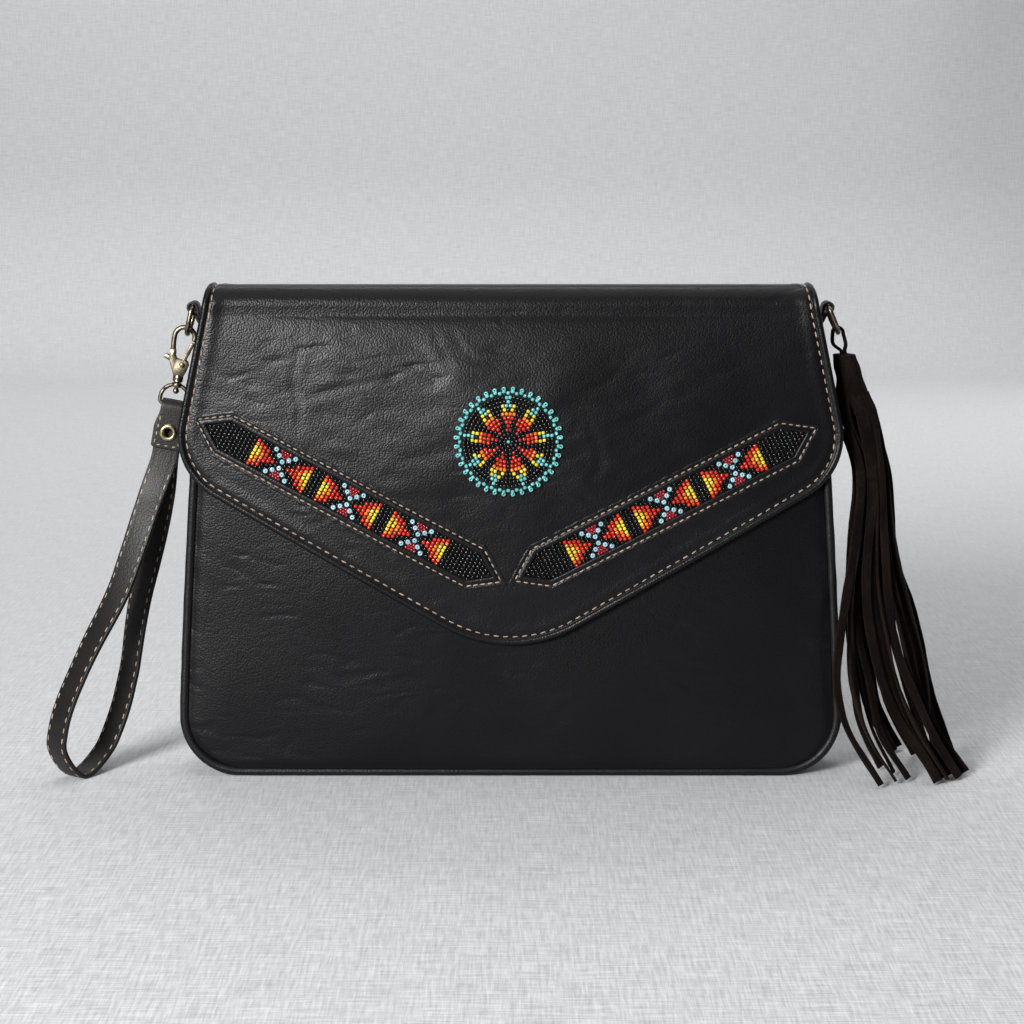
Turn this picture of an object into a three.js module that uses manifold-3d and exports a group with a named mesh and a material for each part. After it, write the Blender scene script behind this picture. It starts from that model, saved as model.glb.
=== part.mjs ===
// A beaded leather flap clutch with a clip-on wrist strap and a suede tassel.
// Millimetres, +Z up. The origin is the middle of the flat bottom, and the flap faces -Y.

import * as THREE from "three";
import { mergeVertices } from "three/addons/utils/BufferGeometryUtils.js";
import Module from "manifold-3d";

const wasm = await Module();
wasm.setup();

// Body
const bodyHalfWidth = 163.2; // widest half width, low on the sides
const bodyTaper = 12.5; // how far each side draws in towards the mouth
const taperPower = 1.2;
const cornerRadius = 30; // the two lower corners
const mouthHeight = 227; // top edge of the panels
const bottomDepth = 40; // front to back across the welts, at the bottom
const mouthDepth = 27; // the same at the mouth
const panelBulge = 7.5; // swell of each panel past its edges
const bulgeFoot = 12; // the swell would fade out this far under the bottom
const bulgeSidePower = 2.6;
const bulgeHeightPower = 0.6;
const panelThick = 1.8;
const gussetThick = 1.8;
const gussetTopDrop = 7; // the gusset ends this far under the mouth
const weltDiameter = 4.5;
const weltProud = 0.8; // the welt stands this far out of the panel
const liningThick = 0.8;
const liningHug = 1.5; // room between a panel and the lining
const clear = 0.3; // between pieces that touch

// Flap
const flapTopInset = 16.9; // the ends of the fold lie this far inside the body's widest part
const flapShoulderInset = 14.3; // the same where the fold meets the flap's face
const flapCornerOverhang = 2.4; // how far the sharp side corner, before it is rounded, stands past the body
const flapCornerHeight = 151.9;
const flapCornerRadius = 33;
const flapTipHeight = 58.2; // sharp lower tip, before it is rounded
const flapTipRadius = 65;
const flapGap = 0.8; // between the flap and the front panel
const flapLiningThick = 0.8;
const flapThick = 1.8;
const flapEdgePuff = 0.7; // turned edge, padded
const flapEdgeWidth = 5;
const flapLiningInset = 3;
const foldRise = 11.6; // from the hinge to the underside of the fold
const foldRadius = 8;
const flapTopHalfWidth = bodyHalfWidth - flapTopInset;
const flapShoulderHalfWidth = bodyHalfWidth - flapShoulderInset;
const flapCornerHalfWidth = bodyHalfWidth + flapCornerOverhang;

// Beadwork: each window from its inner tip to its outer one, which keeps its place by the flap's side corner
const windowHalfWidth = 7.7;
const windowArrow = 11; // length of each pointed end
const beadWindows = {
  left: {
    inner: new THREE.Vector2(-8.5, 101.5),
    outer: new THREE.Vector2(17.5 - flapCornerHalfWidth, flapCornerHeight + 23.3),
  },
  right: {
    inner: new THREE.Vector2(6, 101.9),
    outer: new THREE.Vector2(flapCornerHalfWidth - 21.8, flapCornerHeight + 19.3),
  },
};
const beadThick = 1.5;
const rosetteX = -1;
const rosetteZ = 167.7;
const rosetteRadius = 24;
const picotReach = 2.6; // how far the picots stand out of the rosette
const picotCount = 36;

// Magnetic snap behind the rosette
const snapRadius = 7.5;
const socketThick = 1.6;
const studPlateThick = 0.9;
const studRadius = 2.2;
const studReach = 1.1;
const backingThick = 0.6;
const snapSpread = 60; // how far the flap stays lifted round the snap

// Rings and their tabs
const ringTabLayers = 2.6; // the folded tab, two layers
const ringTabWidth = 10.8;
const ringTabTail = 23; // how far the tab reaches down inside the gusset
const ringOutboard = 4; // the ring's bar beyond the gusset's face
const ringWire = 1.2; // radius
const ringHalfWidth = 7.2;
const ringLeg = 6.4; // straight part of the ring
const leftRingLean = 14; // degrees from upright
const rightRingLean = 23;

// Trigger hook and swivel, measured along the clasp from the ring's wire
const claspLean = 10.5; // degrees from upright
const hookRadius = 4.9;
const seatTurn = 30; // degrees, where the ring lies in the hook's bow
const hookWire = 1.25;
const plateTop = 8.5;
const plateBottom = 21.6;
const cheekReach = 1.95; // half thickness of the hook's plate
const slotReach = 1.2; // half thickness of the slot for the gate
const gateThick = 1;
const gatePivot = { p: 1.1, q: -15.6 };
const pinRadius = 0.8;
const collarRadius = 2.55;
const collarLength = 2.8;
const stemRadius = 1;
const ballRadius = 1.55;
const hubRadius = 2.5;
const hubLength = 2.3;
const eyeWire = 1;
const eyeRadius = 7.1;
const eyeLeg = 2.9; // straight part of the eye

// Wrist strap
const strapWidth = 13;
const strapThick = 2.2;
const strapTabWidth = 15;
const strapTabNeck = 11.2; // width of the tab inside the eye
const strapTabThick = 1.4;
const strapTabLength = 24.4; // from the fold to the lower edge
const eyeletDrop = 16.2; // from the fold to the eyelet
const eyeletHole = 2.1; // radius
const eyeletFlange = 4.5;

// Tassel
const thongWidth = 4;
const thongThick = 1.5;
const tasselLean = 13; // degrees
const tasselHeadDrop = 10.7; // from the foot of the ring to the top of the head
const tasselHeadLength = 30;
const tasselHeadRadius = 5.9;
const tasselSkirtRadius = 10;
const strandWidth = 5.2;
const strandThick = 1.3;
const strandHang = 0.3; // how far a strand has gone towards its knee, halfway down to it
const strandTwist = 25; // degrees from skirt to foot
const strandGather = 0.55; // how much closer the strands lie at the skirt than at the hip
const hipDrop = 57.3; // from the top of the head to where the strands start to fan out

const leatherBlack = { color: 0x2b2b2d, roughness: 0.55 };
const leatherInside = { color: 0x1d1c1c, roughness: 0.8 };
const suedeBrown = { color: 0x2a201b, roughness: 0.95 };
const liningCloth = { color: 0x3a3431, roughness: 0.9 };
const beadBlack = { color: 0x0b0b0c, roughness: 0.2 };
const beadTurquoise = { color: 0x5fc9bd, roughness: 0.25 };
const antiqueBrass = { color: 0x8c7f63, roughness: 0.38, metalness: 1 };
const springSteel = { color: 0x9b9b9b, roughness: 0.35, metalness: 1 };

const bag = new THREE.Group();

// A named mesh with its own material, in the group given.
function addPiece(name, geometry, finish, group = bag) {
  const mesh = new THREE.Mesh(geometry, new THREE.MeshStandardMaterial(finish));
  mesh.name = name;
  group.add(mesh);
  return mesh;
}

// A triangle list as a closed geometry whose faces point out.
function closedGeometry(points, triangles) {
  const geometry = new THREE.BufferGeometry().setFromPoints(points);
  geometry.setIndex(triangles);
  return facingOut(geometry);
}

// The same geometry with merged corners, turned round if it was inside out.
function facingOut(source) {
  const bare = source.clone();
  bare.deleteAttribute("normal");
  bare.deleteAttribute("uv");
  const merged = mergeVertices(bare, 1e-4);
  const index = Array.from(merged.index.array);
  const place = merged.getAttribute("position");
  const [a, b, c] = [new THREE.Vector3(), new THREE.Vector3(), new THREE.Vector3()];
  const kept = [];
  let volume = 0;
  for (let i = 0; i < index.length; i += 3) {
    const [ia, ib, ic] = index.slice(i, i + 3);
    if (ia === ib || ib === ic || ic === ia) continue;
    a.fromBufferAttribute(place, ia);
    b.fromBufferAttribute(place, ib);
    c.fromBufferAttribute(place, ic);
    volume += a.dot(b.cross(c));
    kept.push(ia, ib, ic);
  }
  if (volume < 0) kept.reverse();
  merged.setIndex(kept);
  merged.computeVertexNormals();
  return merged;
}

function toSolid(geometry) {
  const ready = facingOut(geometry);
  return new wasm.Manifold(
    new wasm.Mesh({
      numProp: 3,
      vertProperties: new Float32Array(ready.getAttribute("position").array),
      triVerts: new Uint32Array(ready.index.array),
    }),
  );
}

function fromSolid(solid) {
  const mesh = solid.getMesh();
  const geometry = new THREE.BufferGeometry();
  geometry.setAttribute("position", new THREE.BufferAttribute(new Float32Array(mesh.vertProperties), 3));
  geometry.setIndex(new THREE.BufferAttribute(new Uint32Array(mesh.triVerts), 1));
  geometry.computeVertexNormals();
  return geometry;
}

function join(...geometries) {
  return fromSolid(geometries.map(toSolid).reduce((sum, next) => sum.add(next)));
}

// The same solid with any closed hollow inside it filled.
function filled(geometry) {
  const shells = toSolid(geometry).decompose().filter((shell) => shell.volume() > 0);
  return fromSolid(shells.reduce((sum, next) => sum.add(next)));
}

function cut(geometry, ...cutters) {
  return fromSolid(cutters.map(toSolid).reduce((left, next) => left.subtract(next), toSolid(geometry)));
}

// A closed solid between two matching grids of points.
function sheetSolid(outer, inner) {
  const rows = outer.length;
  const columns = outer[0].length;
  const points = [...outer.flat(), ...inner.flat()];
  const at = (row, column) => row * columns + column;
  const under = rows * columns;
  const triangles = [];
  const quad = (a, b, c, d) => triangles.push(a, b, c, a, c, d);
  for (let r = 0; r < rows - 1; r++) {
    for (let c = 0; c < columns - 1; c++) {
      quad(at(r, c), at(r, c + 1), at(r + 1, c + 1), at(r + 1, c));
      quad(under + at(r, c), under + at(r + 1, c), under + at(r + 1, c + 1), under + at(r, c + 1));
    }
  }
  for (let c = 0; c < columns - 1; c++) {
    quad(at(0, c + 1), at(0, c), under + at(0, c), under + at(0, c + 1));
    quad(at(rows - 1, c), at(rows - 1, c + 1), under + at(rows - 1, c + 1), under + at(rows - 1, c));
  }
  for (let r = 0; r < rows - 1; r++) {
    quad(at(r, 0), at(r + 1, 0), under + at(r + 1, 0), under + at(r, 0));
    const [here, next] = [at(r, columns - 1), at(r + 1, columns - 1)];
    quad(next, here, under + here, under + next);
  }
  return closedGeometry(points, triangles);
}

// A closed solid through rings of points, with flat ends or joined into a loop.
function loft(rings, looped = false) {
  const sides = rings[0].length;
  const points = rings.flat();
  const triangles = [];
  const spans = looped ? rings.length : rings.length - 1;
  for (let r = 0; r < spans; r++) {
    const here = r * sides;
    const next = ((r + 1) % rings.length) * sides;
    for (let s = 0; s < sides; s++) {
      const t = (s + 1) % sides;
      triangles.push(here + s, here + t, next + t, here + s, next + t, next + s);
    }
  }
  if (!looped) {
    const last = (rings.length - 1) * sides;
    for (let s = 1; s < sides - 1; s++) {
      triangles.push(0, s + 1, s, last, last + s, last + s + 1);
    }
  }
  return closedGeometry(points, triangles);
}

function directionAt(points, i, looped) {
  const count = points.length;
  const before = looped ? points[(i + count - 1) % count] : points[Math.max(i - 1, 0)];
  const after = looped ? points[(i + 1) % count] : points[Math.min(i + 1, count - 1)];
  return after.clone().sub(before).normalize();
}

// Round wire along points that lie in a plane with the given normal.
function wireAlong(points, radius, normal, sides = 8, looped = false) {
  const rings = points.map((point, i) => {
    const across = directionAt(points, i, looped).cross(normal).normalize();
    return Array.from({ length: sides }, (_, s) => {
      const turn = ((s + 0.5) / sides) * 2 * Math.PI;
      return point
        .clone()
        .addScaledVector(across, radius * Math.cos(turn))
        .addScaledVector(normal, radius * Math.sin(turn));
    });
  });
  return loft(rings, looped);
}

// Flat band along points: widths and the directions of its width are given for each point.
function bandAlong(points, widthDirections, widths, thick) {
  const rings = points.map((point, i) => {
    const along = directionAt(points, i, false);
    const asked = widthDirections[i];
    const wide = asked.clone().addScaledVector(along, -asked.dot(along)).normalize();
    const deep = along.clone().cross(wide);
    return [
      [-1, -1],
      [1, -1],
      [1, 1],
      [-1, 1],
    ].map(([w, d]) =>
      point
        .clone()
        .addScaledVector(wide, (w * widths[i]) / 2)
        .addScaledVector(deep, (d * thick) / 2),
    );
  });
  return loft(rings);
}

function arcPoints(centre, radius, fromDegrees, toDegrees, count) {
  return Array.from({ length: count }, (_, i) => {
    const turn = THREE.MathUtils.degToRad(fromDegrees + ((toDegrees - fromDegrees) * i) / (count - 1));
    return new THREE.Vector2(centre.x + radius * Math.cos(turn), centre.y + radius * Math.sin(turn));
  });
}

// A plane outline whose inner corners are rounded, as plane points.
function roundedLine(corners, radii, arcSteps = 6) {
  const line = [corners[0].clone()];
  for (let i = 1; i < corners.length - 1; i++) {
    const back = corners[i - 1].clone().sub(corners[i]).normalize();
    const ahead = corners[i + 1].clone().sub(corners[i]).normalize();
    const half = Math.acos(back.dot(ahead)) / 2;
    const reach = radii[i] / Math.tan(half);
    const middle = back.clone().add(ahead).normalize();
    const centre = corners[i].clone().addScaledVector(middle, radii[i] / Math.sin(half));
    const start = corners[i].clone().addScaledVector(back, reach).sub(centre);
    const finish = corners[i].clone().addScaledVector(ahead, reach).sub(centre);
    const turn = Math.atan2(start.cross(finish), start.dot(finish));
    for (let s = 0; s <= arcSteps; s++) {
      line.push(start.clone().rotateAround(new THREE.Vector2(), (turn * s) / arcSteps).add(centre));
    }
  }
  line.push(corners[corners.length - 1].clone());
  return line;
}

// Points on a plane line at the given shares of its length.
function alongLine(line, shares) {
  const steps = line.slice(1).map((point, i) => point.distanceTo(line[i]));
  const total = steps.reduce((sum, step) => sum + step, 0);
  return shares.map((share) => {
    let left = share * total;
    let i = 0;
    while (i < steps.length - 1 && left > steps[i]) left -= steps[i++];
    return line[i].clone().lerp(line[i + 1], Math.min(left / steps[i], 1));
  });
}

const lathePoint = ([r, h]) => new THREE.Vector2(r, h);

// Lays a piece that was made flat, with Y as its height, onto a surface in front of the bag.
function layOn(surface, geometry, x, z) {
  const place = geometry.getAttribute("position");
  for (let i = 0; i < place.count; i++) {
    const px = x + place.getX(i);
    const pz = z + place.getZ(i);
    place.setXYZ(i, px, -(surface(px, pz) + place.getY(i)), pz);
  }
  return facingOut(geometry);
}

function snapDisc(radius, thick, hole = 0) {
  const profile = [
    [hole, 0],
    [radius, 0],
    [radius, thick],
    [hole, thick],
  ];
  if (hole > 0) profile.push([hole, 0]);
  return new THREE.LatheGeometry(profile.map(lathePoint), 24);
}

function steps(count) {
  return Array.from({ length: count + 1 }, (_, i) => i / count);
}

function curveThrough(points, count) {
  return new THREE.CatmullRomCurve3(points, false, "centripetal").getSpacedPoints(count);
}

// Body shape: half width and half depth by height, and the outer face of each panel.
function halfWidthAt(z, inset = 0) {
  if (z < cornerRadius) {
    const reach = cornerRadius - inset;
    const fall = cornerRadius - z;
    return bodyHalfWidth - cornerRadius + Math.sqrt(Math.max(reach * reach - fall * fall, 0));
  }
  const climb = Math.min((z - cornerRadius) / (mouthHeight - cornerRadius), 1.1);
  return bodyHalfWidth - inset - bodyTaper * climb ** taperPower;
}

function halfDepthAt(z) {
  return THREE.MathUtils.lerp(bottomDepth / 2, mouthDepth / 2, z / mouthHeight);
}

function panelFaceAt(x, z) {
  const side = Math.min(Math.abs(x) / halfWidthAt(z), 1);
  const rise = THREE.MathUtils.clamp((z + bulgeFoot) / (mouthHeight + bulgeFoot), 0, 1);
  const swell = (1 - side ** bulgeSidePower) * (4 * rise * (1 - rise)) ** bulgeHeightPower;
  return halfDepthAt(Math.min(z, mouthHeight)) - weltProud + panelBulge * swell;
}

// Heights for the rows of a panel: close together round the lower corners.
function rowHeights(inset, top, arcRows, sideRows) {
  const reach = cornerRadius - inset;
  const arc = steps(arcRows).map((s) => cornerRadius - reach * Math.cos((s * Math.PI) / 2));
  const side = steps(sideRows).slice(1).map((s) => THREE.MathUtils.lerp(cornerRadius, top, s));
  return [...arc, ...side];
}

const panelInset = weltDiameter + clear;
const liningTop = mouthHeight - 1.5;

function panelGrid(facing, offset) {
  const shares = [-1, -0.93, -0.8, -0.6, -0.4, -0.2, 0, 0.2, 0.4, 0.6, 0.8, 0.93, 1];
  return [...rowHeights(panelInset, liningTop, 5, 8), mouthHeight].map((z) =>
    shares.map((share) => {
      const x = share * halfWidthAt(z, panelInset);
      return new THREE.Vector3(x, facing * (panelFaceAt(x, z) - offset), z);
    }),
  );
}

for (const [name, facing] of [["front_panel", -1], ["back_panel", 1]]) {
  addPiece(name, sheetSolid(panelGrid(facing, 0), panelGrid(facing, panelThick)), leatherBlack);
}

// The body's outline from the left mouth round the bottom to the right mouth, with its outward direction.
function bodyOutline(inset, top) {
  const left = rowHeights(0, top, 6, 9)
    .map((z) => {
      const x = -halfWidthAt(z);
      const widening = halfWidthAt(z + 0.5) - halfWidthAt(z - 0.5);
      const outward =
        z < cornerRadius
          ? new THREE.Vector2(x + bodyHalfWidth - cornerRadius, z - cornerRadius).normalize()
          : new THREE.Vector2(-1, -widening).normalize();
      return { place: new THREE.Vector2(x, z).addScaledVector(outward, -inset), outward };
    })
    .reverse();
  const right = left
    .slice()
    .reverse()
    .map(({ place, outward }) => ({
      place: new THREE.Vector2(-place.x, place.y),
      outward: new THREE.Vector2(-outward.x, outward.y),
    }));
  return [...left, ...right];
}

const weltSides = 8;

function weltGeometry(facing) {
  const radius = weltDiameter / 2;
  const rings = bodyOutline(radius, mouthHeight).map(({ place, outward }) => {
    const middle = new THREE.Vector3(place.x, facing * (halfDepthAt(place.y) - radius), place.y);
    return steps(weltSides)
      .slice(1)
      .map((s) => {
        const turn = (s + 0.5 / weltSides) * 2 * Math.PI;
        const across = radius * Math.cos(turn);
        return new THREE.Vector3(
          middle.x + outward.x * across,
          middle.y + radius * Math.sin(turn),
          middle.z + outward.y * across,
        );
      });
  });
  return loft(rings);
}

addPiece("front_welt", weltGeometry(-1), leatherBlack);
addPiece("back_welt", weltGeometry(1), leatherBlack);

const gussetTop = mouthHeight - gussetTopDrop;

function gussetHalfAt(z) {
  return halfDepthAt(z) - weltDiameter - clear;
}

const gussetRings = bodyOutline(0, gussetTop).map(({ place, outward }) => {
  const half = gussetHalfAt(place.y);
  const inner = place.clone().addScaledVector(outward, -gussetThick);
  return [
    new THREE.Vector3(place.x, -half, place.y),
    new THREE.Vector3(place.x, half, place.y),
    new THREE.Vector3(inner.x, half, inner.y),
    new THREE.Vector3(inner.x, -half, inner.y),
  ];
});
addPiece("gusset", loft(gussetRings), leatherBlack);

// The pocket lining: an open-topped tub inside the panels, the gusset and the ring tabs.
const liningInset = gussetThick + ringTabLayers + 3 * clear;

function liningLoop(z, shrink) {
  const half = halfWidthAt(z, liningInset + shrink);
  const rim = THREE.MathUtils.clamp((z - liningTop + 20) / 20, 0, 1);
  const hug = THREE.MathUtils.lerp(liningHug, clear, rim);
  const shares = [-1, -0.88, -0.62, -0.25, 0.25, 0.62, 0.88, 1];
  const face = (share, facing) => {
    const x = share * half;
    return new THREE.Vector3(x, facing * (panelFaceAt(x, z) - panelThick - hug - shrink), z);
  };
  return [...shares.map((share) => face(share, -1)), ...shares.map((share) => face(-share, 1))];
}

function liningSkin(shrink) {
  return rowHeights(liningInset + shrink, liningTop, 4, 8).map((z) => liningLoop(z, shrink));
}
addPiece("pocket_lining", tubSolid(liningSkin(0), liningSkin(liningThick)), liningCloth);

// A tub with an open top between outer and inner loops, both listed from the bottom up.
function tubSolid(outer, inner) {
  const sides = outer[0].length;
  const half = sides / 2;
  const rings = [...outer, ...inner.slice().reverse()];
  const points = rings.flat();
  const triangles = [];
  for (let r = 0; r < rings.length - 1; r++) {
    for (let s = 0; s < sides; s++) {
      const t = (s + 1) % sides;
      const here = r * sides;
      const next = here + sides;
      triangles.push(here + s, here + t, next + t, here + s, next + t, next + s);
    }
  }
  const floorAt = (first, flip) => {
    for (let s = 0; s < half - 1; s++) {
      const [a, b, c, d] = [s, s + 1, sides - 2 - s, sides - 1 - s].map((i) => first + i);
      if (flip) triangles.push(a, b, c, a, c, d);
      else triangles.push(a, c, b, a, d, c);
    }
  };
  floorAt(0, false);
  floorAt((rings.length - 1) * sides, true);
  return closedGeometry(points, triangles);
}

// Flap: the surface it follows in front of the panel, lifted a little round the snap.
const snapStack = socketThick + studPlateThick + 3 * clear;

function flapInnerAt(x, z) {
  const away = Math.hypot(x - rosetteX, z - rosetteZ) / snapSpread;
  return panelFaceAt(x, z) + flapGap + Math.max(snapStack - flapGap, 0) * Math.exp(-away * away);
}

const flapShoulderZ = mouthHeight + foldRise - foldRadius;
const flapSideTop = new THREE.Vector2(flapShoulderHalfWidth, flapShoulderZ);
const flapCorner = new THREE.Vector2(flapCornerHalfWidth, flapCornerHeight);
const flapTip = new THREE.Vector2(0, flapTipHeight);

// The right half of the lower outline, from the middle of the tip to the top of the side.
function flapHalfOutline(inset) {
  const mirrored = new THREE.Vector2(-flapCorner.x, flapCorner.y);
  const whole = roundedLine(
    [mirrored, flapTip, flapCorner, flapSideTop],
    [0, flapTipRadius, flapCornerRadius, 0],
    8,
  );
  const right = whole.filter((point) => point.x > 1e-6);
  const bottom = whole.reduce((low, point) => (point.y < low.y ? point : low));
  const line = [new THREE.Vector2(0, bottom.y), ...right];
  return line.map((point, i) => {
    const before = line[Math.max(i - 1, 0)];
    const after = line[Math.min(i + 1, line.length - 1)];
    const along = i === 0 ? new THREE.Vector2(1, 0) : after.clone().sub(before).normalize();
    return point.clone().addScaledVector(new THREE.Vector2(-along.y, along.x), inset);
  });
}

// The fold over the mouth, seen from the side: from the hinge at the back to the shoulder at the front.
function foldPath(lift) {
  const back = panelFaceAt(0, mouthHeight);
  const front = flapInnerAt(flapShoulderHalfWidth, flapShoulderZ);
  const hinge = new THREE.Vector2(back - lift - clear * 2, mouthHeight + clear);
  const radius = foldRadius + lift;
  const rearCentre = new THREE.Vector2(back - foldRadius - flapLayers, flapShoulderZ);
  const frontCentre = new THREE.Vector2(foldRadius - front, flapShoulderZ);
  return [
    new THREE.Vector2(rearCentre.x + radius, hinge.y),
    ...arcPoints(rearCentre, radius, 0, 90, 5),
    ...arcPoints(frontCentre, radius, 90, 180, 5),
  ];
}

const flapLayers = flapLiningThick + clear + flapThick;

function flapGrid(lift, inset, shares, fall, puffed) {
  const outline = flapHalfOutline(inset);
  const cornerShare = shareOfCorner(outline);
  const rows = [];
  const path = foldPath(lift);
  path.forEach((point, i) => {
    const t = Math.max(i / (path.length - 1) - 0.5, 0) * 2;
    const half = THREE.MathUtils.lerp(flapTopHalfWidth, flapShoulderHalfWidth, t) - inset;
    rows.push(
      shares.map((share) => {
        const edge = puffed ? puffAt((1 - Math.abs(share)) * half) : 0;
        const before = path[Math.max(i - 1, 0)];
        const after = path[Math.min(i + 1, path.length - 1)];
        const along = after.clone().sub(before).normalize();
        return new THREE.Vector3(share * half, point.x + along.y * edge, point.y - along.x * edge);
      }),
    );
  });
  const lower = alongLine(outline, shares.map((share) => Math.abs(share) * cornerShare));
  for (const t of fall.slice(1)) {
    rows.push(
      shares.map((share, i) => {
        const topX = share * (flapShoulderHalfWidth - inset);
        const x = THREE.MathUtils.lerp(topX, Math.sign(share) * lower[i].x, t);
        const z = THREE.MathUtils.lerp(flapShoulderZ, lower[i].y, t);
        const drop = (1 - t) * (flapShoulderZ - lower[i].y);
        const side = (1 - Math.abs(share)) * Math.max(Math.abs(x), flapShoulderHalfWidth / 2);
        const puff = puffed ? puffAt(Math.min(drop, side)) : 0;
        return new THREE.Vector3(x, -(flapInnerAt(x, z) + lift + puff), z);
      }),
    );
  }
  return rows;
}

// The turned edge: thin at the rim, padded just inside it.
function puffAt(distance) {
  if (distance >= flapEdgeWidth) return 0;
  return flapEdgePuff * Math.sin((Math.PI * (distance + 1)) / (flapEdgeWidth + 1));
}

// Where the lower outline's rounded side corner ends, as a share of its length.
function shareOfCorner(outline) {
  const lengths = outline.slice(1).map((point, i) => point.distanceTo(outline[i]));
  const total = lengths.reduce((sum, length) => sum + length, 0);
  return 1 - lengths[lengths.length - 1] / total;
}

const halfShares = [0, 0.11, 0.22, 0.33, 0.44, 0.55, 0.66, 0.76, 0.85, 0.92, 0.965, 0.985, 1];
const flapShares = [...halfShares.slice(1).reverse().map((s) => -s), ...halfShares];
const flapFall = [0, 0.14, 0.3, 0.46, 0.62, 0.76, 0.88, 0.95, 0.975, 0.99, 1];
const coarseHalf = [0, 0.1, 0.25, 0.45, 0.68, 0.86, 0.95, 1];
const coarseShares = [...coarseHalf.slice(1).reverse().map((s) => -s), ...coarseHalf];
const coarseFall = flapFall.filter((t) => t < 0.9 || t === 1);

const flap = new THREE.Group();
bag.add(flap);

// An upright prism through the flap's face, from an outline in X and Z.
function prismThrough(outline) {
  const reach = bottomDepth / 2 + panelBulge + 20;
  const shape = new THREE.Shape(outline);
  const prism = new THREE.ExtrudeGeometry(shape, { depth: reach, bevelEnabled: false, steps: 1 });
  return prism.rotateX(Math.PI / 2);
}

// A point on a bead window's axis, measured from its inner tip along it and square to it.
function windowPoint({ inner, outer }, run, off) {
  const along = outer.clone().sub(inner).normalize();
  const across = new THREE.Vector2(-along.y, along.x);
  return inner.clone().addScaledVector(along, run).addScaledVector(across, off);
}

// A bead window's outline: a long band with a point at each end.
function windowOutline(beads, inset) {
  const length = beads.inner.distanceTo(beads.outer);
  const half = windowHalfWidth - inset;
  const pointed = inset * Math.hypot(windowArrow, windowHalfWidth) / windowHalfWidth;
  return [
    windowPoint(beads, pointed, 0),
    windowPoint(beads, windowArrow, half),
    windowPoint(beads, length - windowArrow, half),
    windowPoint(beads, length - pointed, 0),
    windowPoint(beads, length - windowArrow, -half),
    windowPoint(beads, windowArrow, -half),
  ];
}

const flapSheet = sheetSolid(
  flapGrid(flapLayers, 0, flapShares, flapFall, true),
  flapGrid(flapLiningThick + clear, 0, flapShares, flapFall, false),
);
const windows = Object.values(beadWindows).map((beads) => prismThrough(windowOutline(beads, 0)));
const backingSeatAt = (x, z) => flapInnerAt(x, z) + flapLiningThick + clear;
const backingRecess = layOn(
  (x, z) => backingSeatAt(x, z) - clear,
  snapDisc(snapRadius + clear, backingThick + 2 * clear),
  rosetteX,
  rosetteZ,
);
addPiece("flap_leather", cut(flapSheet, ...windows, backingRecess), leatherBlack, flap);
addPiece(
  "snap_stud_backing",
  layOn(backingSeatAt, snapDisc(snapRadius, backingThick), rosetteX, rosetteZ),
  springSteel,
  flap,
);
const flapLiningSheet = sheetSolid(
  flapGrid(flapLiningThick, flapLiningInset, coarseShares, coarseFall, false),
  flapGrid(0, flapLiningInset, coarseShares, coarseFall, false),
);
addPiece("flap_lining", flapLiningSheet, leatherInside, flap);

// The beaded strips fill the windows, a little under the leather's face.
function stripSheet(beads, lift) {
  const over = 3;
  const length = beads.inner.distanceTo(beads.outer);
  return steps(14).map((s) =>
    [-1, -0.33, 0.33, 1].map((n) => {
      const { x, y: z } = windowPoint(
        beads,
        THREE.MathUtils.lerp(-over, length + over, s),
        n * (windowHalfWidth + over),
      );
      return new THREE.Vector3(x, -(flapInnerAt(x, z) + lift), z);
    }),
  );
}

for (const [side, beads] of Object.entries(beadWindows)) {
  const bottom = flapLiningThick + 2 * clear;
  const slab = toSolid(sheetSolid(stripSheet(beads, bottom + beadThick), stripSheet(beads, bottom)));
  const shape = toSolid(prismThrough(windowOutline(beads, clear)));
  addPiece(`${side}_bead_strip`, fromSolid(slab.intersect(shape)), beadBlack, flap);
}

const flapFaceAt = (x, z) => flapInnerAt(x, z) + flapLayers + clear;

const rosetteProfile = [
  [0, 0],
  [rosetteRadius, 0],
  [rosetteRadius, beadThick * 0.8],
  [rosetteRadius - 1, beadThick],
  [rosetteRadius / 2, beadThick + 0.3],
  [0, beadThick + 0.5],
].map(lathePoint);
const rosetteDisc = new THREE.LatheGeometry(rosetteProfile, 36);
addPiece("rosette", layOn(flapFaceAt, rosetteDisc, rosetteX, rosetteZ), beadBlack, flap);

// The picot edging: a ring of bead loops round the rosette.
function picotRing() {
  const stations = picotCount * 2;
  const inner = rosetteRadius + clear;
  const rings = steps(stations)
    .slice(1)
    .map((s) => {
      const turn = s * 2 * Math.PI;
      const wave = (1 + Math.cos(turn * picotCount)) / 2;
      const outer = inner + picotReach * (0.45 + 0.55 * wave);
      const spoke = (r, h) => new THREE.Vector3(r * Math.cos(turn), h, r * Math.sin(turn));
      return [spoke(inner, 0), spoke(outer, 0), spoke(outer - 0.3, beadThick), spoke(inner, beadThick)];
    });
  return loft(rings, true);
}
addPiece("rosette_edging", layOn(flapFaceAt, picotRing(), rosetteX, rosetteZ), beadTurquoise, flap);

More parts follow.
